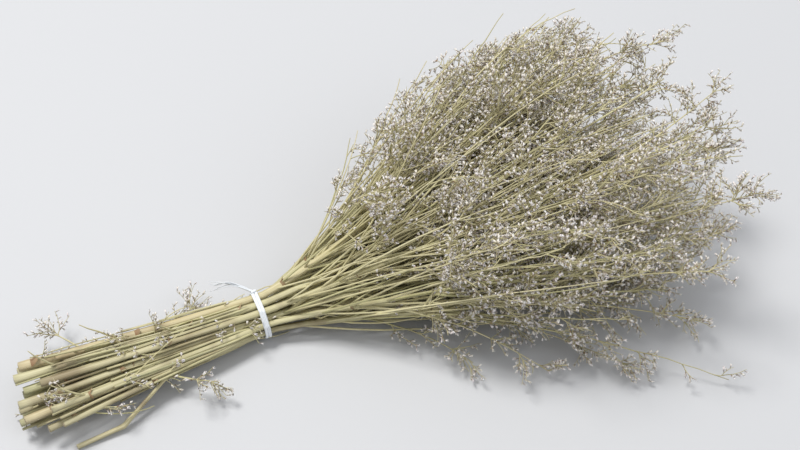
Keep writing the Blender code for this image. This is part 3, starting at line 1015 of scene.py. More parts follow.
@dataclass
class FloretShape:
    """One papery floret, a unit long, opening towards +Z: its calyx, petals and bract.

    Attributes:
        lobes: Of the calyx.
        rings: Height, radius and rim tone of the calyx's two rings.
        wave: How far the lobes of the upper ring stand up or down.
        throat: Height of the floor of the calyx.
        petals: Turn of each petal in the throat.
        verts, rims, faces, skins: The mesh, with one rim tone for each vertex.
    """

    lobes: int = 4
    rings: tuple[tuple[float, float, float], ...] = ((0.45, 0.105, 0.30), (0.98, 0.22, 1.0))
    wave: float = 0.09
    throat: float = 0.62
    petals: tuple[float, ...] = (0.3, 2.5, 4.4)
    verts: list[tuple[float, float, float]] | Array = field(default_factory=list)
    rims: list[float] | Array = field(default_factory=list)
    faces: list[tuple[int, int, int]] | Array = field(default_factory=list)
    skins: list[int] | Array = field(default_factory=list)

    def __post_init__(self) -> None:
        """Builds the mesh."""
        self.add_calyx()
        for k, turn in enumerate(self.petals):
            self.add_petal(turn, 0.05 * k)
        self.add_face(((0.02, 0, -0.08), (0.17, 0.11, 0.34), (0.17, -0.11, 0.34)), (0.0,) * 3,
                      Skin.BRACT)
        self.verts, self.rims = np.array(self.verts, float), np.array(self.rims)
        self.faces, self.skins = np.array(self.faces), np.array(self.skins, int)

    def add_calyx(self) -> None:
        """Adds the papery funnel with its closed throat."""
        lobes = self.lobes
        self.verts.append((0, 0, 0))
        self.rims.append(0.0)
        for (height, radius, rim), wave in zip(self.rings, (0.0, self.wave)):
            for k in range(lobes):
                turn = FULL_TURN * k / lobes
                self.verts.append((radius * math.cos(turn), radius * math.sin(turn),
                                   height + wave * (-1) ** k))
                self.rims.append(rim)
        self.verts.append((0, 0, self.throat))
        self.rims.append(0.12)
        for i in range(lobes):
            j = (i + 1) % lobes
            a, b, c, d = 1 + i, 1 + j, 1 + lobes + j, 1 + lobes + i
            self.faces += [(0, b, a), (a, b, c), (a, c, d), (1 + 2 * lobes, d, c)]
            self.skins += [Skin.FLORET] * 4

    def add_petal(self, turn: float, drop: float) -> None:
        """Adds a petal that stands in the throat.

        Args:
            turn: Which side it stands on.
            drop: How much lower than the first it is.
        """
        out = np.array([math.cos(turn), math.sin(turn), 0])
        side = np.array([-out[1], out[0], 0]) * 0.10
        top = out * 0.20 + [0, 0, 1.16 - drop]
        self.add_face((tuple(out * 0.04 + [0, 0, 0.66]), tuple(top + side), tuple(top - side)),
                      (0.7, 1.35, 1.35), Skin.FLORET)

    def add_face(self, corners: tuple[Values, ...], rims: tuple[float, ...], skin: Skin) -> None:
        """Adds a loose triangle.

        Args:
            corners: Its three points.
            rims: A rim tone for each.
            skin: Its material slot.
        """
        start = len(self.verts)
        self.verts += corners
        self.rims += rims
        self.faces.append((start, start + 1, start + 2))
        self.skins.append(skin)

    def plant(self, growth: Growth, places: Array, axes: Array, outs: Array, sizes: Array,
              chance: Array, age: float) -> None:
        """Adds a floret at each place.

        Args:
            growth: What they are added to.
            places: (n, 3) where they stand.
            axes: (n, 3) directions that they open towards.
            outs: (n, 3) the side that their bracts stand on.
            sizes: (n,) lengths.
            chance: (n,) a random value for each.
            age: How far towards the tips of the stem they are, 0 to 1.
        """
        axes = axes / np.linalg.norm(axes, axis=1, keepdims=True)
        x = units(outs - axes * (outs * axes).sum(1, keepdims=True))
        y = np.cross(axes, x)
        local = self.verts[None] * sizes[:, None, None]
        verts = (places[:, None] + local[..., :1] * x[:, None] + local[..., 1:2] * y[:, None]
                 + local[..., 2:] * axes[:, None]).reshape(-1, 3)
        count, each = len(places), len(self.verts)
        faces = (np.arange(count)[:, None, None] * each + self.faces).reshape(-1, 3)
        rims = np.tile(self.rims, count)
        tones = np.stack([rims, np.repeat(chance, each), np.full(count * each, age)], 1)
        uvs = np.stack([rims, np.repeat(chance * 7, each)], 1)
        growth.add(verts, faces, np.tile(self.skins, count), tones, uvs)


@dataclass
class Panicle:
    """The fine twigs, one-sided spikes and florets of one stem.

    Attributes:
        growth, shape, draw: What it adds to, its floret, and its random draws.
        spike_places: Point on a twig where a spike stands, and the share of twigs with one.
        outlying: True while it grows on a spray that stands outside the head.
        florets: How many it has planted.
    """

    growth: Growth
    shape: FloretShape
    draw: Draw
    twig_lengths: tuple[float, float] = (0.016, 0.038)
    twig_radius: float = 0.00050          # at its root
    twig_bend: float = 0.55
    twig_points: int = 5
    spike_places: tuple[tuple[int, float], ...] = (
        (1, 0.6), (2, 1.0), (3, 1.0), (3, 0.6), (4, 1.0), (4, 0.7))
    side_spread: tuple[float, float] = (0.45, 1.0)    # angles of spikes, in radians
    end_spread: tuple[float, float] = (0.0, 0.35)
    spike_lengths: tuple[float, float] = (0.009, 0.020)
    spike_bend: float = 0.5
    spike_points: int = 4
    bare_share: float = 0.22              # of a spike, below its first floret
    floret_step: float = 0.0034
    floret_share: float = 0.90            # of the places along a spike that hold one
    floret_sizes: tuple[float, float] = (0.0033, 0.0048)
    floret_lean: tuple[float, float, float] = (0.72, 0.62, 0.55)  # along, out, to both sides
    floret_floor: float = 0.004           # height that a floret's foot keeps
    outlying: bool = False
    florets: int = 0

    def twigs(self, starts: Array, headings: Array, scale: float, age: float,
              shares: float | Array = 0.0) -> None:
        """Grows side twigs, each with spikes along it and at its end.

        Args:
            starts: (n, 3) roots.
            headings: (n, 3) directions at the roots.
            scale: Of their lengths.
            age: How far towards the tips of the stem they are, 0 to 1.
            shares: (n,) how far along its branch each one stands: they grow shorter.
        """
        draw, count = self.draw, len(starts)
        if not count:
            return
        lengths = draw.uniform(*self.twig_lengths, count) * scale * (1.2 - 0.6 * shares)
        outs = across(headings, draw)
        outs[:, 2] += 0.25
        lines = arcs(starts, headings, outs, lengths, self.twig_bend, self.twig_points)
        lines = lines[room_left(lines, self.outlying)]
        count, end = len(lines), self.twig_points - 1
        if not count:
            return
        wires(self.growth, lines, self.twig_radius, self.twig_radius * 0.6,
              draw.uniform(0, 1, count), age)
        for step, share in self.spike_places:
            take = draw.uniform(0, 1, count) < share
            tangent = lines[take, step] - lines[take, step - 1]
            tangent /= np.linalg.norm(tangent, axis=1, keepdims=True)
            spread = self.end_spread if step == end else self.side_spread
            heads = fanned(tangent, draw.uniform(*spread, len(tangent)), draw)
            back = draw.uniform(0, 1, (len(tangent), 1)) * (step < end)
            roots = lines[take, step] * (1 - back) + lines[take, step - 1] * back
            self.spikes(roots, heads, age)

    def spikes(self, starts: Array, headings: Array, age: float) -> None:
        """Grows spikes that curve over, with two close rows of florets on their outer side.

        Args:
            starts: (n, 3) roots.
            headings: (n, 3) directions at the roots.
            age: How far towards the tips of the stem they are, 0 to 1.
        """
        draw, count = self.draw, len(starts)
        lengths = draw.uniform(*self.spike_lengths, count)
        outs = across(headings, draw)
        lines = arcs(starts, headings, -outs, lengths, self.spike_bend, self.spike_points)
        keep = room_left(lines, self.outlying)
        lines, outs, lengths = lines[keep], outs[keep], lengths[keep]
        count = len(lines)
        if not count:
            return
        wires(self.growth, lines, self.twig_radius * 0.75, self.twig_radius * 0.4,
              draw.uniform(0, 1, count), age)
        chance = draw.uniform(0, 1, count)
        most = int(max(lengths) / self.floret_step)
        for j in range(most + 1):
            t = (self.bare_share * lengths + j * self.floret_step) / lengths
            on = (t <= 1.0) & (draw.uniform(0, 1, count) < self.floret_share)
            if on.any():
                self.floret_row(lines[on], outs[on], t[on], chance[on], j % 2, age)

    def floret_row(self, lines: Array, outs: Array, t: Array, chance: Array, side: int,
                   age: float) -> None:
        """Plants one floret on each spike.

        Args:
            lines: (n, p, 3) spikes.
            outs: (n, 3) their outer sides.
            t: (n,) how far along each spike its floret stands.
            chance: (n,) a random value for each spike.
            side: 0 or 1, the row that the florets stand in.
            age: How far towards the tips of the stem they are, 0 to 1.
        """
        draw = self.draw
        at = np.minimum(t, 0.999) * (lines.shape[1] - 1)
        low, each = at.astype(int), np.arange(len(lines))
        a, b = lines[each, low], lines[each, low + 1]
        places = a + (b - a) * (at - low)[:, None]
        along = (b - a) / np.linalg.norm(b - a, axis=1, keepdims=True)
        lean_along, lean_out, lean_side = self.floret_lean
        swing = np.cross(along, outs) * (lean_side if side else -lean_side)
        swing += draw.normal(0, 0.22, along.shape)
        axes = along * lean_along + outs * lean_out + swing
        sizes = draw.uniform(*self.floret_sizes, len(places)) * (1.0 - 0.25 * (t - 0.5))
        tint = np.clip(chance * 0.6 + draw.uniform(0, 0.4, len(places)), 0, 1)
        clear = places[:, 2] > self.floret_floor
        self.shape.plant(self.growth, places[clear], axes[clear], outs[clear], sizes[clear],
                         tint[clear], age)
        self.florets += int(clear.sum())


@dataclass
class StemPiece:
    """The fine piece of one stem, made round its strands.

    Attributes:
        number: Of the stem, from 1.
        strands: Its main stem, then its branches and twigs.
        shape: The floret that it bears.
    """

    number: int
    strands: list[Strand]
    shape: FloretShape
    sides: int = 10                   # of a stem's ring
    ring_step: float = 0.009          # between the rings of the main stem
    ridge_depth: float = 0.13         # of its radius
    joints: int = 6
    joint_swell: float = 0.16
    joint_half: float = 0.0035
    top_twigs: int = 6                # that leave the main stem itself
    low_twigs: int = 2                # between the cut end and the tie
    curls: int = 4                    # bare wisps about the tie
    curl_radii: tuple[float, float] = (0.0006, 0.0003)
    curl_top: float = 0.06
    companions: int = 4               # thin stems beside this one, from the cut to the tie
    companion_radii: tuple[float, float] = (0.0004, 0.0012)
    branch_step: float = 0.012
    branch_sway: float = 0.0003
    fillers: int = 38                 # thin branches, bare for most of their length
    filler_radii: tuple[float, float] = (0.0010, 0.0004)
    growth: Growth = field(default_factory=Growth, init=False)

    def __post_init__(self) -> None:
        """Starts the stem's own random draws."""
        self.draw = np.random.default_rng(900 + self.number)
        self.panicle = Panicle(self.growth, self.shape, self.draw)
        self.chance = self.draw.uniform(0, 1)

    def make(self, materials: list[bpy.types.Material]) -> bpy.types.Object:
        """Builds the stem and dresses it.

        Args:
            materials: One for each skin.

        Returns:
            The finished piece.
        """
        self.main_stalk()
        for strand in self.strands[1:]:
            if strand.bears_florets:
                self.branch(strand)
            else:
                self.bare_fork(strand)
        for _ in range(self.fillers):
            self.filler()
        piece = self.growth.build(f"statice_{self.number:02d}", materials)
        LOG.info("stem %d: %d florets, %d triangles", self.number, self.panicle.florets,
                 self.growth.triangles())
        return piece

    def main_stalk(self) -> None:
        """The main stem with its joints and bracts, and what grows on it."""
        main, draw = self.strands[0], self.draw
        line, shares = smooth_line(main.points, self.ring_step)
        x = line[:, 0]
        taper = 1 - 0.42 * np.clip((x - 0.02) / 0.12, 0, 1)
        radii = np.interp(x, main.points[:, 0], main.radii) * np.where(x < 0, 0.93, 0.96) * taper
        slim = 0.74 + 0.22 * self.chance
        radii = radii * np.interp(x, (-0.175, -0.135, -0.06, -0.01, 0.02, 0.12),
                                  (1.02, slim, 0.88 * slim, 0.94, slim, 1.0))
        radii = radii * (1 + 0.05 * np.sin(x * 150 + 9 * self.chance))
        joints = np.sort(draw.uniform(x[0] + 0.004, x[-1], self.joints))
        for joint in joints:
            radii *= 1 + self.joint_swell * np.exp(-(((x - joint) / self.joint_half) ** 2))
        age = np.clip((x + 0.18) / 0.45, 0, 1)
        tones = np.stack([np.zeros(len(line)), np.full(len(line), self.chance), age], 1)
        tube(self.growth, line, radii, self.sides, Skin.STALK, tones, self.ridge_depth)
        self.cut_face(line, radii)
        for joint in joints[np.abs(joints) > 0.012]:
            for turn in (0.0, 2.1, 4.2)[: int(draw.integers(1, 3))]:
                self.bract(line, radii, joint, turn)
        for _ in range(self.companions):
            self.companion(line, radii)
        t = np.interp(draw.uniform(0.12, x[-1], self.top_twigs), x, shares)
        starts, along = line_at(line, shares, t)
        heads = fanned(along, draw.uniform(0.35, 0.8, self.top_twigs), draw)
        self.panicle.twigs(starts, heads, 1.0, 0.7)
        self.low_growth(line, shares)

    def bare_fork(self, strand: Strand) -> None:
        """A bare side stem, cut like the main one.

        Args:
            strand: Its run, from its root to its cut end.
        """
        ways = np.linspace(0, 1, len(strand.points))
        shares = np.sort(np.append(np.linspace(0, 1, 14), ways[1:-1]))
        line = np.stack([np.interp(shares, ways, axis) for axis in strand.points.T], 1)
        radii = 0.9 * np.interp(shares, ways, strand.radii)
        radii *= 1 + 0.25 * np.exp(-(((shares - ways[1]) / 0.05) ** 2))
        tones = np.tile([0.0, 0.9, 0.3], (len(line), 1))
        tube(self.growth, line, radii, self.sides, Skin.STALK, tones, self.ridge_depth)
        self.cut_face(line[::-1], radii[::-1])

    def cut_face(self, line: Array, radii: Array) -> None:
        """The pale pith that shows where a stem was cut.

        Args:
            line: (n, 3) centre line, from the cut end.
            radii: (n,) radii.
        """
        count = 12
        turns = FULL_TURN * np.arange(count) / count
        back = unit(line[0] - line[1])
        side = unit(np.cross(back, [0, 0.1, 1.0]))
        up = np.cross(back, side)
        ring = line[0] + back * 0.00025 + 0.86 * radii[0] * (
            side * np.cos(turns)[:, None] + up * np.sin(turns)[:, None])
        verts = np.vstack([ring, line[:1] + back * 0.0001])
        i = np.arange(count)
        faces = np.stack([i, (i + 1) % count, np.full(count, count)], 1)
        rim = np.append(np.ones(count), 0.0)[:, None] * [1, 0, 0] + [0, self.chance, 0]
        self.growth.add(verts, faces, Skin.PITH, rim, verts[:, 1:] * 100)

    def companion(self, line: Array, radii: Array) -> None:
        """A thin stem that runs beside the main one from the cut to the tie.

        Args:
            line: (n, 3) centre line of the main stem.
            radii: (n,) its radii.
        """
        draw = self.draw
        part = line[line[:, 0] < -0.004]
        t = np.linspace(1, 0, len(part))[:, None]
        along = unit(part[-1] - part[0])
        side = across(along[None], draw)[0]
        side[2] = abs(side[2])
        turn = draw.uniform(-1.6, 1.6) * t + 0.25 * np.sin(t * draw.uniform(4, 9))
        way = side * np.cos(turn) + np.cross(along, side) * np.sin(turn)
        radius = draw.uniform(*self.companion_radii)
        gap = radii[:len(part), None] + radius + draw.uniform(0.0, 0.003) * t
        gap *= np.minimum(0.45 + 5 * t, 1.0)
        run = (part + way * gap)[int(draw.integers(0, len(part) // 2)):]
        run[:, 2] = np.maximum(run[:, 2], radius * 1.2)
        tones = np.tile([0.0, draw.uniform(), draw.uniform(0, 0.7)], (len(run), 1))
        thickness = np.full(len(run), radius)
        tube(self.growth, run, thickness, 6, Skin.STALK, tones, 0.06)
        self.cut_face(run, thickness)

    def bract(self, line: Array, radii: Array, x: float, turn: float) -> None:
        """A dry brown scale that clasps the stem and points to the heads.

        Args:
            line: (n, 3) centre line of the stem.
            radii: (n,) its radii.
            x: Where the scale stands.
            turn: Which side it stands on.
        """
        draw, rows, columns = self.draw, 4, 4
        k = int(np.clip(np.searchsorted(line[:, 0], x), 1, len(line) - 2))
        along, centre, radius = unit(line[k + 1] - line[k - 1]), line[k], radii[k]
        side = unit(np.cross(along, [0.0, 0.3, 1.0]))
        up = np.cross(along, side)
        turn += 5 * x / self.ring_step + draw.uniform(-0.3, 0.3)
        side, up = (side * math.cos(turn) + up * math.sin(turn),
                    up * math.cos(turn) - side * math.sin(turn))
        length = radius * draw.uniform(0.9, 2.1)
        verts, faces = [], []
        for j in range(rows + 1):
            t = j / rows
            half = 1.2 * (1 - t) ** 0.8 + draw.uniform(0.02, 0.12)
            for a in np.linspace(-half, half, columns + 1):
                out = side * math.cos(a) + up * math.sin(a)
                lift = radius * (1.08 + 1.0 * t * t)
                verts.append(centre + along * length * (t - 0.1) + out * lift)
        for j in range(rows):
            for i in range(columns):
                a = j * (columns + 1) + i
                d = a + columns + 1
                faces += [(a, a + 1, d + 1), (a, d + 1, d)]
        verts = np.array(verts)
        tones = np.stack([np.repeat(np.linspace(0, 1, rows + 1), columns + 1),
                          np.full(len(verts), draw.uniform()), np.full(len(verts), 0.5)], 1)
        self.growth.add(verts, np.array(faces), Skin.BRACT, tones, verts[:, :2] * 50)

    def low_growth(self, line: Array, shares: Array) -> None:
        """Short twigs below the tie, and bare curling wisps about it.

        Args:
            line: (n, 3) centre line of the main stem.
            shares: (n,) each point's share of the way.
        """
        draw, x = self.draw, line[:, 0]
        t = np.interp(draw.uniform(-0.17, -0.01, self.low_twigs), x, shares)
        starts, along = line_at(line, shares, t)
        spread = draw.uniform(0.06, 0.3, len(t))
        along = along * draw.choice([-1, 1], len(t))[:, None]
        self.panicle.twigs(starts, fanned(along, spread, draw), 0.45, 0.4)
        t = np.interp(draw.uniform(-0.14, 0.05, self.curls), x, shares)
        starts, along = line_at(line, shares, t)
        out = across(along, draw)
        spread = draw.uniform(0.1, 0.7, self.curls)[:, None]
        curls = arcs(starts, along * np.cos(spread) + out * np.sin(spread), -out,
                     draw.uniform(0.02, 0.06, self.curls), draw.uniform(0.2, 1.3), 8)
        low, high = curls[..., 2].min(axis=1), curls[..., 2].max(axis=1)
        curls = curls[(low > 0.001) & (high < self.curl_top)]
        wires(self.growth, curls, *self.curl_radii, draw.uniform(0, 1, len(curls)), 0.5)

    def branch(self, strand: Strand) -> None:
        """A branch or twig along its strand, with side twigs for most of its length.

        Args:
            strand: Its run, from its root to its tip.
        """
        draw, panicle = self.draw, self.panicle
        line, shares = smooth_line(strand.points, self.branch_step)
        line = swayed(line, self.branch_sway, draw)
        low = strand.points[0, 0] < 0
        leaves_head = line[-1, 1] < 0.04 and not room_left(line[None, -2:])[0]
        panicle.outlying = leaves_head and not low
        radii = np.interp(shares, [0, 0.5, 1], [0.95, 0.66, 0.34]) * strand.radii[1]
        age = np.clip(0.35 + 0.65 * shares, 0, 1)
        tones = np.stack([0 * age, np.full(len(age), draw.uniform()), age], 1)
        tube(self.growth, line, radii, 5, Skin.TWIG, tones)
        length = np.linalg.norm(np.diff(line, axis=0), axis=1).sum()
        count = 2 if low else int(3 + length * 34)
        t = np.sort(draw.uniform(0.2 if low else 0.30, 1.0, count) ** 0.8)
        starts, along = line_at(line, shares, t)
        heads = fanned(along, draw.uniform(0.3, 0.85, count), draw)
        scale = 0.34 if low else 0.5 if panicle.outlying else 0.85
        panicle.twigs(starts, heads, scale, 0.8, t)
        panicle.twigs(line[-2:-1], unit(line[-1] - line[-2])[None], 0.6 * scale, 1.0)
        panicle.outlying = False

    def filler(self) -> None:
        """A thin branch from low on the stem that runs up inside the head."""
        draw = self.draw
        start, along = at_x(self.strands[0], draw.uniform(0.012, 0.15))
        length = draw.uniform(0.11, 0.27)
        angle = draw.uniform(0.04, 0.60)
        out = across(along[None], draw)
        heading = along * math.cos(angle) + out[0] * math.sin(angle)
        line = arcs(start[None], heading[None], -out, np.array([length]),
                    draw.uniform(-0.5, 0.9), 12)
        if not room_left(line)[0] or not inside_head(line[0, -1]):
            return
        line = line[0] + draw.normal(0, 0.0002, line[0].shape)
        shares = np.linspace(0, 1, len(line))
        tones = np.stack([0 * shares, np.full(len(line), draw.uniform()), 0.3 + 0.6 * shares], 1)
        tube(self.growth, line, np.linspace(*self.filler_radii, len(line)), 4, Skin.TWIG, tones)
        count = int(draw.uniform(0, 1) < 0.5) * int(1 + length * 16)
        starts, ways = line_at(line, shares, draw.uniform(0.5, 1.0, count))
        heads = fanned(ways, draw.uniform(0.3, 0.8, count), draw)
        self.panicle.twigs(starts, heads, 0.9, 0.75)


@dataclass
class StringTie:
    """The string: two flat turns round the stems, a knot and a frayed end.

    Attributes:
        slots: (n, 2) centres (y, z) of the stems in the tie.
        stem_radii: (n,) their radii there.
        turns: Of the string: middle along X, slant along X, and where its mesh starts.
        tail_steps: From the knot to the end of the tail.
        fray_spread: How far the frays stray at each of those points.
    """

    slots: Array
    stem_radii: Array
    sides: int = 10
    steps: int = 96
    half_width: float = 0.00125
    half_thickness: float = 0.00072
    ridge: float = 0.07
    waver: float = 0.00012
    turns: tuple[tuple[float, float, float], ...] = (
        (-0.00148, 0.0004, 0.0), (0.00142, -0.0003, 0.3))
    knot_turn: float = math.radians(48)   # where the knot is, round the tie from +Y
    knot_radius: float = 0.0008
    knot_loops: tuple[float, float] = (-0.5, 0.6)
    tail_steps: tuple[tuple[float, float, float], ...] = (
        (-0.007, 0.005, 0.003), (-0.008, 0.007, 0.001), (-0.010, 0.006, -0.004))
    tail_radii: tuple[float, float] = (0.0011, 0.0007)
    frays: int = 7
    fray_radii: tuple[float, float] = (0.00042, 0.00018)
    fray_spread: tuple[float, ...] = (0.0, 0.0005, 0.0016, 0.004)
    growth: Growth = field(default_factory=Growth, init=False)

    def support(self, turn: float, lift: float) -> tuple[Array, Array]:
        """A point round the stems.

        Args:
            turn: Its direction from the middle of the tie.
            lift: Its distance off the stems.

        Returns:
            The point (y, z), and the direction away from the stems.
        """
        normal = np.array([math.cos(turn), math.sin(turn)])
        k = int(np.argmax(self.slots @ normal + self.stem_radii))
        point = self.slots[k] + normal * (self.stem_radii[k] + STEM.gap + lift)
        point[1] = max(point[1], STEM.tie_thickness - lift)
        return point, normal

    def wind(self, middle: float, slant: float, phase: float) -> None:
        """Adds one closed turn of the string.

        Args:
            middle: Its place along X.
            slant: How far it strays from there.
            phase: Where its mesh starts, round the tie.
        """
        verts, uvs = [], []
        for k in range(self.steps):
            turn = FULL_TURN * k / self.steps + phase
            point, normal = self.support(turn, self.half_thickness)
            x = middle + slant * math.sin(turn - self.knot_turn) + self.waver * math.sin(7 * turn)
            for i in range(self.sides):
                a = FULL_TURN * i / self.sides
                ridge = 1 + self.ridge * math.cos(4 * a + 5 * turn)
                h = self.half_thickness * math.sin(a) * ridge
                verts.append((x + self.half_width * math.cos(a) * ridge,
                              point[0] + normal[0] * h, max(point[1] + normal[1] * h, FINE.floor)))
                uvs.append((i / self.sides, k * 0.0012))
        rows = np.arange(self.steps)[:, None] * self.sides
        after = (rows + self.sides) % len(verts)
        self.growth.add(np.array(verts), band(rows, after, self.sides)[:, ::-1], 0, (0, 0.5, 0),
                        np.array(uvs))

    def strand(self, points: Array, root: float, tip: float) -> None:
        """Adds a round strand through points, of those radii at its ends."""
        line, shares = smooth_line(points, 0.002)
        tube(self.growth, line, root + (tip - root) * shares, 7, 0, (0, 0.5, 0), 0.1)

    def knot(self, centre: Array, out: Array) -> None:
        """Adds the two loops of the knot.

        Args:
            centre: Its middle.
            out: The direction away from the stems.
        """
        side = np.cross(out, [1.0, 0, 0])
        for turn in self.knot_loops:
            ring = [centre + out * (0.0002 + 0.0006 * math.cos(a))
                    + side * 0.0016 * math.sin(a) * math.cos(turn)
                    + np.array([0.0018 * math.cos(a + turn), 0, 0])
                    for a in np.linspace(0, FULL_TURN, 9)]
            self.strand(ring, self.knot_radius, self.knot_radius)

    def make(self, material: bpy.types.Material) -> bpy.types.Object:
        """Builds the string and dresses it.

        Args:
            material: Of the whole string.

        Returns:
            The finished piece.
        """
        draw = np.random.default_rng(77)
        for middle, slant, phase in self.turns:
            self.wind(middle, slant, phase)
        point, normal = self.support(self.knot_turn, STEM.tie_thickness + 0.0002)
        centre = np.array([0.0, *point])
        self.knot(centre, np.array([0.0, *normal]))
        route = np.vstack([centre, centre + np.cumsum(self.tail_steps, axis=0)])
        self.strand(route[:3], *self.tail_radii)
        for _ in range(self.frays):
            stray = draw.normal(0, 1, (len(route), 3)) * np.array(self.fray_spread)[:, None]
            self.strand(route + stray * [0.7, 1.0, 0.9], *self.fray_radii)
        piece = self.growth.build("string_tie", [material])
        LOG.info("string: %d triangles", self.growth.triangles())
        return piece


class Tone(Enum):
    """What the mesh tells a material about each point, by its place in the tone colour."""

    RIM = "Red"
    CHANCE = "Green"
    AGE = "Blue"


class Blotch(Enum):
    """The two outputs of the speckle group."""

    SOFT = "Soft"
    FINE = "Fine"


def new_group(name: str, inputs: tuple[str, ...], outputs: tuple[str, ...]) -> tuple:
    """An empty node group with number sockets.

    Args:
        name: Of the group.
        inputs, outputs: Names of its sockets.

    Returns:
        The group, its input node and its output node.
    """
    group = bpy.data.node_groups.new(name, "ShaderNodeTree")
    for direction, names in (("INPUT", inputs), ("OUTPUT", outputs)):
        for socket in names:
            group.interface.new_socket(name=socket, in_out=direction,
                                       socket_type="NodeSocketFloat")
    return group, group.nodes.new("NodeGroupInput"), group.nodes.new("NodeGroupOutput")


def plug(tree: bpy.types.NodeTree, socket: bpy.types.NodeSocket,
         value: bpy.types.NodeSocket | float | Colour) -> None:
    """Links a socket to what feeds it, or sets its value.

    Args:
        tree: Where the socket is.
        socket: An input.
        value: An output, a number or a colour.
    """
    if isinstance(value, bpy.types.NodeSocket):
        tree.links.new(value, socket)
    else:
        socket.default_value = (*value, 1.0) if isinstance(value, tuple) else value


def calculate(tree: bpy.types.NodeTree, operation: str, a: bpy.types.NodeSocket,
              b: bpy.types.NodeSocket | float) -> bpy.types.NodeSocket:
    """Adds or multiplies in a node tree.

    Args:
        tree: The node tree.
        operation: ADD or MULTIPLY.
        a, b: What it works on.

    Returns:
        The result.
    """
    node = tree.nodes.new("ShaderNodeMath")
    node.operation = operation
    plug(tree, node.inputs[0], a)
    plug(tree, node.inputs[1], b)
    return node.outputs[0]


class SharedEffects:
    """The node groups that several finishes use, each built once."""

    def __init__(self) -> None:
        """Builds both groups."""
        self.fibres = self.fibre_group()
        self.speckle = self.speckle_group()

    @staticmethod
    def fibre_group() -> bpy.types.NodeTree:
        """Long streaks along a tube.

        Returns:
            The group; it puts out a mask from 0 to 1, and a height for bump.
        """
        group, inside, outside = new_group("fibres", ("Round", "Along"), ("Mask", "Height"))
        nodes, links = group.nodes, group.links
        uv = nodes.new("ShaderNodeUVMap")
        uv.uv_map = "fibre"
        split = nodes.new("ShaderNodeSeparateXYZ")
        links.new(uv.outputs["UV"], split.inputs[0])
        joined = nodes.new("ShaderNodeCombineXYZ")
        for axis, socket in (("X", "Round"), ("Y", "Along")):
            links.new(calculate(group, "MULTIPLY", split.outputs[axis], inside.outputs[socket]),
                      joined.inputs[axis])
        noise = nodes.new("ShaderNodeTexNoise")
        noise.inputs["Scale"].default_value = 1.0
        noise.inputs["Detail"].default_value = 3.0
        links.new(joined.outputs[0], noise.inputs["Vector"])
        mask = nodes.new("ShaderNodeMapRange")
        mask.inputs["From Min"].default_value = 0.36
        mask.inputs["From Max"].default_value = 0.64
        links.new(noise.outputs["Fac"], mask.inputs["Value"])
        links.new(mask.outputs[0], outside.inputs["Mask"])
        links.new(noise.outputs["Fac"], outside.inputs["Height"])
        return group

    @staticmethod
    def speckle_group() -> bpy.types.NodeTree:
        """Blotches in space.

        Returns:
            The group; it puts out a soft mask and a fine one.
        """
        outputs = (Blotch.SOFT.value, Blotch.FINE.value)
        group, inside, outside = new_group("speckle", ("Scale",), outputs)
        place = group.nodes.new("ShaderNodeTexCoord")
        for name, times, detail in zip(outputs, (1.0, 6.0), (2.0, 4.0)):
            noise = group.nodes.new("ShaderNodeTexNoise")
            noise.inputs["Detail"].default_value = detail
            group.links.new(place.outputs["Object"], noise.inputs["Vector"])
            group.links.new(calculate(group, "MULTIPLY", inside.outputs["Scale"], times),
                            noise.inputs["Scale"])
            group.links.new(noise.outputs["Fac"], outside.inputs[name])
        return group


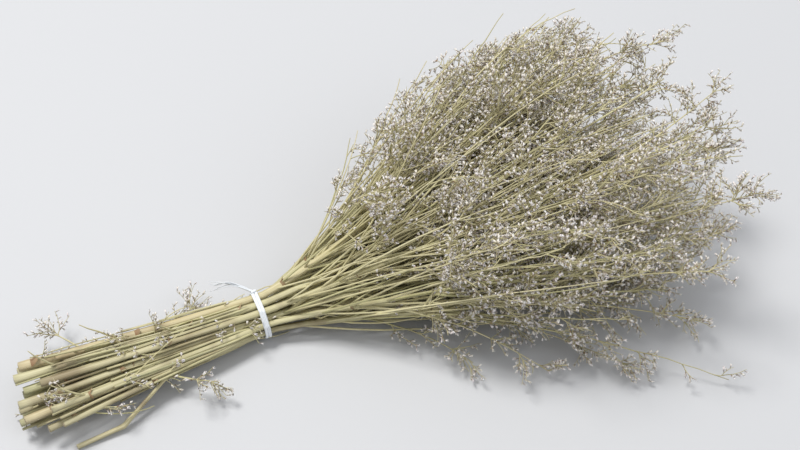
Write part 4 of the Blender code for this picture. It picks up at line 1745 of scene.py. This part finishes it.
class Sheet:
    """A material as it is made: its node tree and its shader."""

    def __init__(self, name: str, roughness: float) -> None:
        """Starts an empty material.

        Args:
            name: Of the material.
            roughness: Of its surface.
        """
        self.material = bpy.data.materials.new(name)
        self.material.use_nodes = True
        self.tree = self.material.node_tree
        self.shader = self.tree.nodes["Principled BSDF"]
        self.shader.inputs["Roughness"].default_value = roughness

    def tones(self) -> dict[Tone, bpy.types.NodeSocket]:
        """Reads the tones that the mesh carries.

        Returns:
            The value of each tone.
        """
        tone = self.tree.nodes.new("ShaderNodeAttribute")
        tone.attribute_name = "tone"
        split = self.tree.nodes.new("ShaderNodeSeparateColor")
        self.tree.links.new(tone.outputs["Color"], split.inputs[0])
        return {which: split.outputs[which.value] for which in Tone}

    def effect(self, group: bpy.types.NodeTree, **values: float) -> bpy.types.NodeOutputs:
        """Places a shared effect.

        Args:
            group: The effect.
            **values: Its inputs, by name.

        Returns:
            Its outputs.
        """
        node = self.tree.nodes.new("ShaderNodeGroup")
        node.node_tree = group
        for name, value in values.items():
            node.inputs[name].default_value = value
        return node.outputs

    def ramp(self, source: bpy.types.NodeSocket, stops: Stops) -> bpy.types.NodeSocket:
        """A colour that follows a value.

        Args:
            source: The value.
            stops: Values with the colour at each.

        Returns:
            The colour.
        """
        node = self.tree.nodes.new("ShaderNodeValToRGB")
        elements = node.color_ramp.elements
        while len(elements) < len(stops):
            elements.new(0.5)
        for element, (at, colour) in zip(elements, stops):
            element.position, element.color = at, (*colour, 1.0)
        self.tree.links.new(source, node.inputs["Fac"])
        return node.outputs["Color"]

    def mix(self, factor: bpy.types.NodeSocket, a: bpy.types.NodeSocket | Colour,
            b: bpy.types.NodeSocket | Colour, share: float = 1.0) -> bpy.types.NodeSocket:
        """A colour between two others.

        Args:
            factor: 0 for the first colour, 1 for the second.
            a, b: The colours.
            share: What the factor is multiplied by.

        Returns:
            The colour.
        """
        node = self.tree.nodes.new("ShaderNodeMix")
        node.data_type = "RGBA"
        if share != 1.0:
            factor = calculate(self.tree, "MULTIPLY", factor, share)
        for name, value in (("Factor", factor), ("A", a), ("B", b)):
            plug(self.tree, node.inputs[name], value)
        return node.outputs["Result"]

    def finish(self, colour: bpy.types.NodeSocket,
               height: bpy.types.NodeSocket | None = None,
               relief: tuple[float, float] = (0.0, 0.0)) -> bpy.types.Material:
        """Gives the shader its colour and, if there is a height, its bump.

        Args:
            colour: Of the surface.
            height: What the bump follows.
            relief: Strength of the bump, and its depth in metres.

        Returns:
            The finished material.
        """
        self.tree.links.new(colour, self.shader.inputs["Base Color"])
        if height is not None:
            node = self.tree.nodes.new("ShaderNodeBump")
            node.inputs["Strength"].default_value, node.inputs["Distance"].default_value = relief
            self.tree.links.new(height, node.inputs["Height"])
            self.tree.links.new(node.outputs[0], self.shader.inputs["Normal"])
        return self.material


@dataclass(frozen=True)
class StalkFinish:
    """Ridged stems: olive to straw, streaked, browner in places."""

    roughness: float = 0.62
    tones: Stops = ((0.0, (0.27, 0.22, 0.11)), (0.35, (0.50, 0.46, 0.27)),
                    (0.7, (0.32, 0.32, 0.15)), (1.0, (0.50, 0.40, 0.23)))
    young: Colour = (0.52, 0.49, 0.24)
    pale: Colour = (0.72, 0.67, 0.46)
    streaks: tuple[float, float] = (16.0, 22.0)   # round the stem, and for a metre along it
    streak_share: float = 0.45
    blotches: float = 38.0                        # scale of the dry places
    dry: Stops = ((0.50, BLACK), (0.70, (0.6, 0.6, 0.6)))
    relief: tuple[float, float] = (0.6, 0.0006)

    def make(self, shared: SharedEffects) -> bpy.types.Material:
        """Makes the material.

        Args:
            shared: The effects that it draws on.

        Returns:
            The finished material.
        """
        sheet = Sheet("stalk", self.roughness)
        tones = sheet.tones()
        streaks = sheet.effect(shared.fibres, Round=self.streaks[0], Along=self.streaks[1])
        spots = sheet.effect(shared.speckle, Scale=self.blotches)
        base = sheet.ramp(tones[Tone.CHANCE], self.tones)
        young = sheet.mix(tones[Tone.AGE], base, self.young)
        streaky = sheet.mix(streaks["Mask"], young, self.pale, self.streak_share)
        dry = sheet.ramp(spots[Blotch.SOFT.value], self.dry)
        return sheet.finish(sheet.mix(dry, streaky, DRY_BROWN), streaks["Height"], self.relief)


@dataclass(frozen=True)
class DryFinish:
    """A dry plant surface: a ramp of tones, a second colour on one side, brown blotches.

    Attributes:
        name: Of the material.
        ramp_by: The tone that the ramp follows.
        edge_by: The tone that brings in the edge colour, up to edge_share.
        blotch: Which blotches are brown and raised; scale is theirs.
    """

    name: str
    roughness: float
    tones: Stops
    ramp_by: Tone
    scale: float
    blotch: Blotch
    blotch_share: float
    relief: tuple[float, float]
    edge: Colour | None = None
    edge_by: Tone = Tone.RIM
    edge_share: float = 0.0

    def make(self, shared: SharedEffects) -> bpy.types.Material:
        """Makes the material.

        Args:
            shared: The effects that it draws on.

        Returns:
            The finished material.
        """
        sheet = Sheet(self.name, self.roughness)
        tones = sheet.tones()
        spots = sheet.effect(shared.speckle, Scale=self.scale)[self.blotch.value]
        colour = sheet.ramp(tones[self.ramp_by], self.tones)
        if self.edge is not None:
            colour = sheet.mix(tones[self.edge_by], colour, self.edge, self.edge_share)
        return sheet.finish(sheet.mix(spots, colour, DRY_BROWN, self.blotch_share), spots,
                            self.relief)


@dataclass(frozen=True)
class FloretFinish:
    """Papery florets: taupe at the base and in the throat, lilac to cream at the rim."""

    roughness: float = 0.78
    bases: Stops = ((0.0, (0.34, 0.28, 0.26)), (0.5, (0.40, 0.34, 0.25)),
                    (1.0, (0.52, 0.47, 0.32)))
    rims: Stops = ((0.0, (0.96, 0.90, 0.92)), (0.4, (0.98, 0.95, 0.92)),
                   (1.0, (0.93, 0.87, 0.76)))
    rim_share: Stops = ((0.28, BLACK), (0.9, WHITE))
    shade: Colour = (0.30, 0.25, 0.20)
    shade_share: float = 0.3
    blotches: float = 260.0
    glow: float = 0.12                            # light that passes through the paper
    glow_depths: tuple[float, float, float] = (0.001, 0.0008, 0.0007)
    relief: tuple[float, float] = (0.5, 0.0004)

    def make(self, shared: SharedEffects) -> bpy.types.Material:
        """Makes the material.

        Args:
            shared: The effects that it draws on.

        Returns:
            The finished material.
        """
        sheet = Sheet("floret", self.roughness)
        tones = sheet.tones()
        spots = sheet.effect(shared.speckle, Scale=self.blotches)[Blotch.FINE.value]
        base = sheet.ramp(tones[Tone.CHANCE], self.bases)
        rim = sheet.ramp(tones[Tone.CHANCE], self.rims)
        petal = sheet.mix(sheet.ramp(tones[Tone.RIM], self.rim_share), base, rim)
        sheet.shader.inputs["Subsurface Weight"].default_value = self.glow
        sheet.shader.inputs["Subsurface Radius"].default_value = self.glow_depths
        return sheet.finish(sheet.mix(spots, petal, self.shade, self.shade_share), spots,
                            self.relief)


@dataclass(frozen=True)
class StringFinish:
    """Flat white plastic string with fine lengthwise fibres."""

    shade: Colour = (0.66, 0.70, 0.74)
    light: Colour = (0.90, 0.92, 0.94)
    fibres: tuple[float, float] = (14.0, 60.0)    # round the string, and for a metre along it
    roughness: float = 0.32
    fibre_roughness: float = 0.2                  # what the fibres add
    relief: tuple[float, float] = (0.7, 0.0006)

    def make(self, shared: SharedEffects) -> bpy.types.Material:
        """Makes the material.

        Args:
            shared: The effects that it draws on.

        Returns:
            The finished material.
        """
        sheet = Sheet("string", self.roughness)
        streaks = sheet.effect(shared.fibres, Round=self.fibres[0], Along=self.fibres[1])
        rough = calculate(sheet.tree, "MULTIPLY", streaks["Mask"], self.fibre_roughness)
        sheet.tree.links.new(calculate(sheet.tree, "ADD", rough, self.roughness),
                             sheet.shader.inputs["Roughness"])
        colour = sheet.mix(streaks["Mask"], self.shade, self.light)
        return sheet.finish(colour, streaks["Height"], self.relief)


@dataclass(frozen=True)
class PaperFinish:
    """Smooth pale paper, a little uneven in tone."""

    roughness: float = 0.65
    light: Colour = (0.527, 0.532, 0.543)
    shade: Colour = (0.517, 0.522, 0.533)
    blotches: float = 1.4

    def make(self, shared: SharedEffects) -> bpy.types.Material:
        """Makes the material.

        Args:
            shared: The effects that it draws on.

        Returns:
            The finished material.
        """
        sheet = Sheet("floor", self.roughness)
        spots = sheet.effect(shared.speckle, Scale=self.blotches)
        return sheet.finish(sheet.mix(spots[Blotch.SOFT.value], self.light, self.shade))


# Fine twigs: straw to yellow-green, paler and greyer to their ends
TWIG_FINISH = DryFinish(
    "twig", 0.7, ((0.0, (0.66, 0.61, 0.32)), (0.5, (0.76, 0.71, 0.42)), (1.0, (0.50, 0.49, 0.22))),
    Tone.CHANCE, 60.0, Blotch.FINE, 0.35, (0.3, 0.0003),
    edge=(0.46, 0.40, 0.28), edge_by=Tone.AGE, edge_share=0.35)

# Dry scales at the joints and under the florets: red-brown, paler at the edge
BRACT_FINISH = DryFinish(
    "bract", 0.7,
    ((0.0, (0.30, 0.165, 0.08)), (0.6, (0.36, 0.23, 0.12)), (1.0, (0.27, 0.21, 0.12))),
    Tone.CHANCE, 120.0, Blotch.FINE, 0.5, (0.4, 0.0004),
    edge=(0.50, 0.40, 0.24), edge_share=0.55)

# Cut faces: pale pith with a darker, torn ring
PITH_FINISH = DryFinish(
    "pith", 0.85, ((0.0, (0.52, 0.42, 0.28)), (0.6, (0.74, 0.64, 0.46)), (1.0, (0.36, 0.27, 0.15))),
    Tone.RIM, 420.0, Blotch.SOFT, 0.5, (0.8, 0.0006))


@dataclass(frozen=True)
class Lamp:
    """A round soft light.

    Attributes:
        name: Of the light.
        place: Where it stands.
        width: Its diameter.
        power: In watts.
        colour: Of its light.
    """

    name: str
    place: tuple[float, float, float]
    width: float
    power: float
    colour: Colour

    def add(self) -> None:
        """Hangs the light, aimed at the bunch."""
        data = bpy.data.lights.new(self.name, "AREA")
        data.shape, data.size, data.energy, data.color = "DISK", self.width, self.power, self.colour
        light = bpy.data.objects.new(self.name, data)
        light.location = self.place
        aim = Vector((0.1, 0, 0.03)) - Vector(self.place)
        light.rotation_euler = aim.to_track_quat("-Z", "Y").to_euler()
        bpy.context.scene.collection.objects.link(light)


@dataclass(frozen=True)
class Studio:
    """The table, the light and the camera.

    Attributes:
        view_turn: Of the camera on plan, from looking along +Y.
        view_down: Below the horizon.
        tie_pixel: Where the tie stands in the frame, from its top left.
        tie_scale: Pixels for a metre at the tie.
    """

    frame: tuple[int, int] = (800, 450)
    view_turn: float = math.radians(24)
    view_down: float = math.radians(48)
    view_width: float = math.radians(36)
    tie_pixel: tuple[int, int] = (260, 314)
    tie_point: tuple[float, float, float] = (0.0, 0.0, 0.0165)
    tie_scale: float = 1350.0
    sensor_mm: float = 36.0
    table_half: float = 6.0
    sky: Colour = (0.93, 0.95, 1.0)
    sky_strength: float = 0.58
    lamps: tuple[Lamp, ...] = (
        Lamp("key", (-0.8, 1.5, 4.4), 1.8, 200.0, (1.0, 0.99, 0.97)),
        Lamp("fill", (2.4, -2.4, 3.2), 3.4, 36.0, (0.96, 0.98, 1.0)))

    def add_camera(self) -> None:
        """Places the camera so that the tie has its place and size in the frame."""
        sideways = Vector((math.cos(self.view_turn), -math.sin(self.view_turn), 0))
        level = Vector((math.sin(self.view_turn), math.cos(self.view_turn), 0))
        ahead = level * math.cos(self.view_down) - Vector((0, 0, math.sin(self.view_down)))
        upward = sideways.cross(ahead)
        width, height = self.frame
        focal = width / 2 / math.tan(self.view_width / 2)
        distance = focal / self.tie_scale
        right = (self.tie_pixel[0] - width / 2) / focal * distance
        above = (height / 2 - self.tie_pixel[1]) / focal * distance
        place = Vector(self.tie_point) - sideways * right - upward * above - ahead * distance
        data = bpy.data.cameras.new("camera")
        data.sensor_width = self.sensor_mm
        data.lens = self.sensor_mm / 2 / math.tan(self.view_width / 2)
        camera = bpy.data.objects.new("camera", data)
        turn = Matrix((sideways, upward, -ahead)).transposed().to_4x4()
        camera.matrix_world = Matrix.Translation(place) @ turn
        bpy.context.scene.collection.objects.link(camera)
        bpy.context.scene.camera = camera

    def add_floor(self, material: bpy.types.Material) -> None:
        """Lays the table's surface.

        Args:
            material: What it is made of.
        """
        mesh = bpy.data.meshes.new("floor")
        half = self.table_half
        mesh.from_pydata([(-half, -half, 0), (half, -half, 0), (half, half, 0), (-half, half, 0)],
                         [], [(0, 1, 2, 3)])
        mesh.materials.append(material)
        floor = bpy.data.objects.new("floor", mesh)
        bpy.context.scene.collection.objects.link(floor)

    def add_light(self) -> None:
        """Adds the lamps and the even light of the room."""
        bpy.context.scene.view_settings.view_transform = "Standard"
        for lamp in self.lamps:
            lamp.add()
        world = bpy.data.worlds.new("studio")
        bpy.context.scene.world = world
        world.use_nodes = True
        shader = world.node_tree.nodes["Background"]
        shader.inputs["Color"].default_value = (*self.sky, 1.0)
        shader.inputs["Strength"].default_value = self.sky_strength


def main() -> None:
    """Builds the stems, the string and the studio, in that order."""
    logging.basicConfig(level=logging.INFO, format="%(message)s")
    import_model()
    bunch = Bunch()
    shared = SharedEffects()
    skins = [finish.make(shared) for finish in
             (StalkFinish(), TWIG_FINISH, FloretFinish(), BRACT_FINISH, PITH_FINISH)]
    shape = FloretShape()
    for k, strands in enumerate(bunch.stems):
        piece = StemPiece(k + 1, strands, shape).make(skins)
        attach(piece, "root")
        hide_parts(f"stem_{k + 1:02d}")
    tie = StringTie(bunch.slots, bunch.radii * STEM.tie_taper).make(StringFinish().make(shared))
    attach(tie, "root")
    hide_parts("tie")
    studio = Studio()
    studio.add_floor(PaperFinish().make(shared))
    studio.add_light()
    studio.add_camera()
    LOG.info("studio: table, %d lamps and camera", len(studio.lamps))
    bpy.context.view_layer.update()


if __name__ == "__main__":
    main()
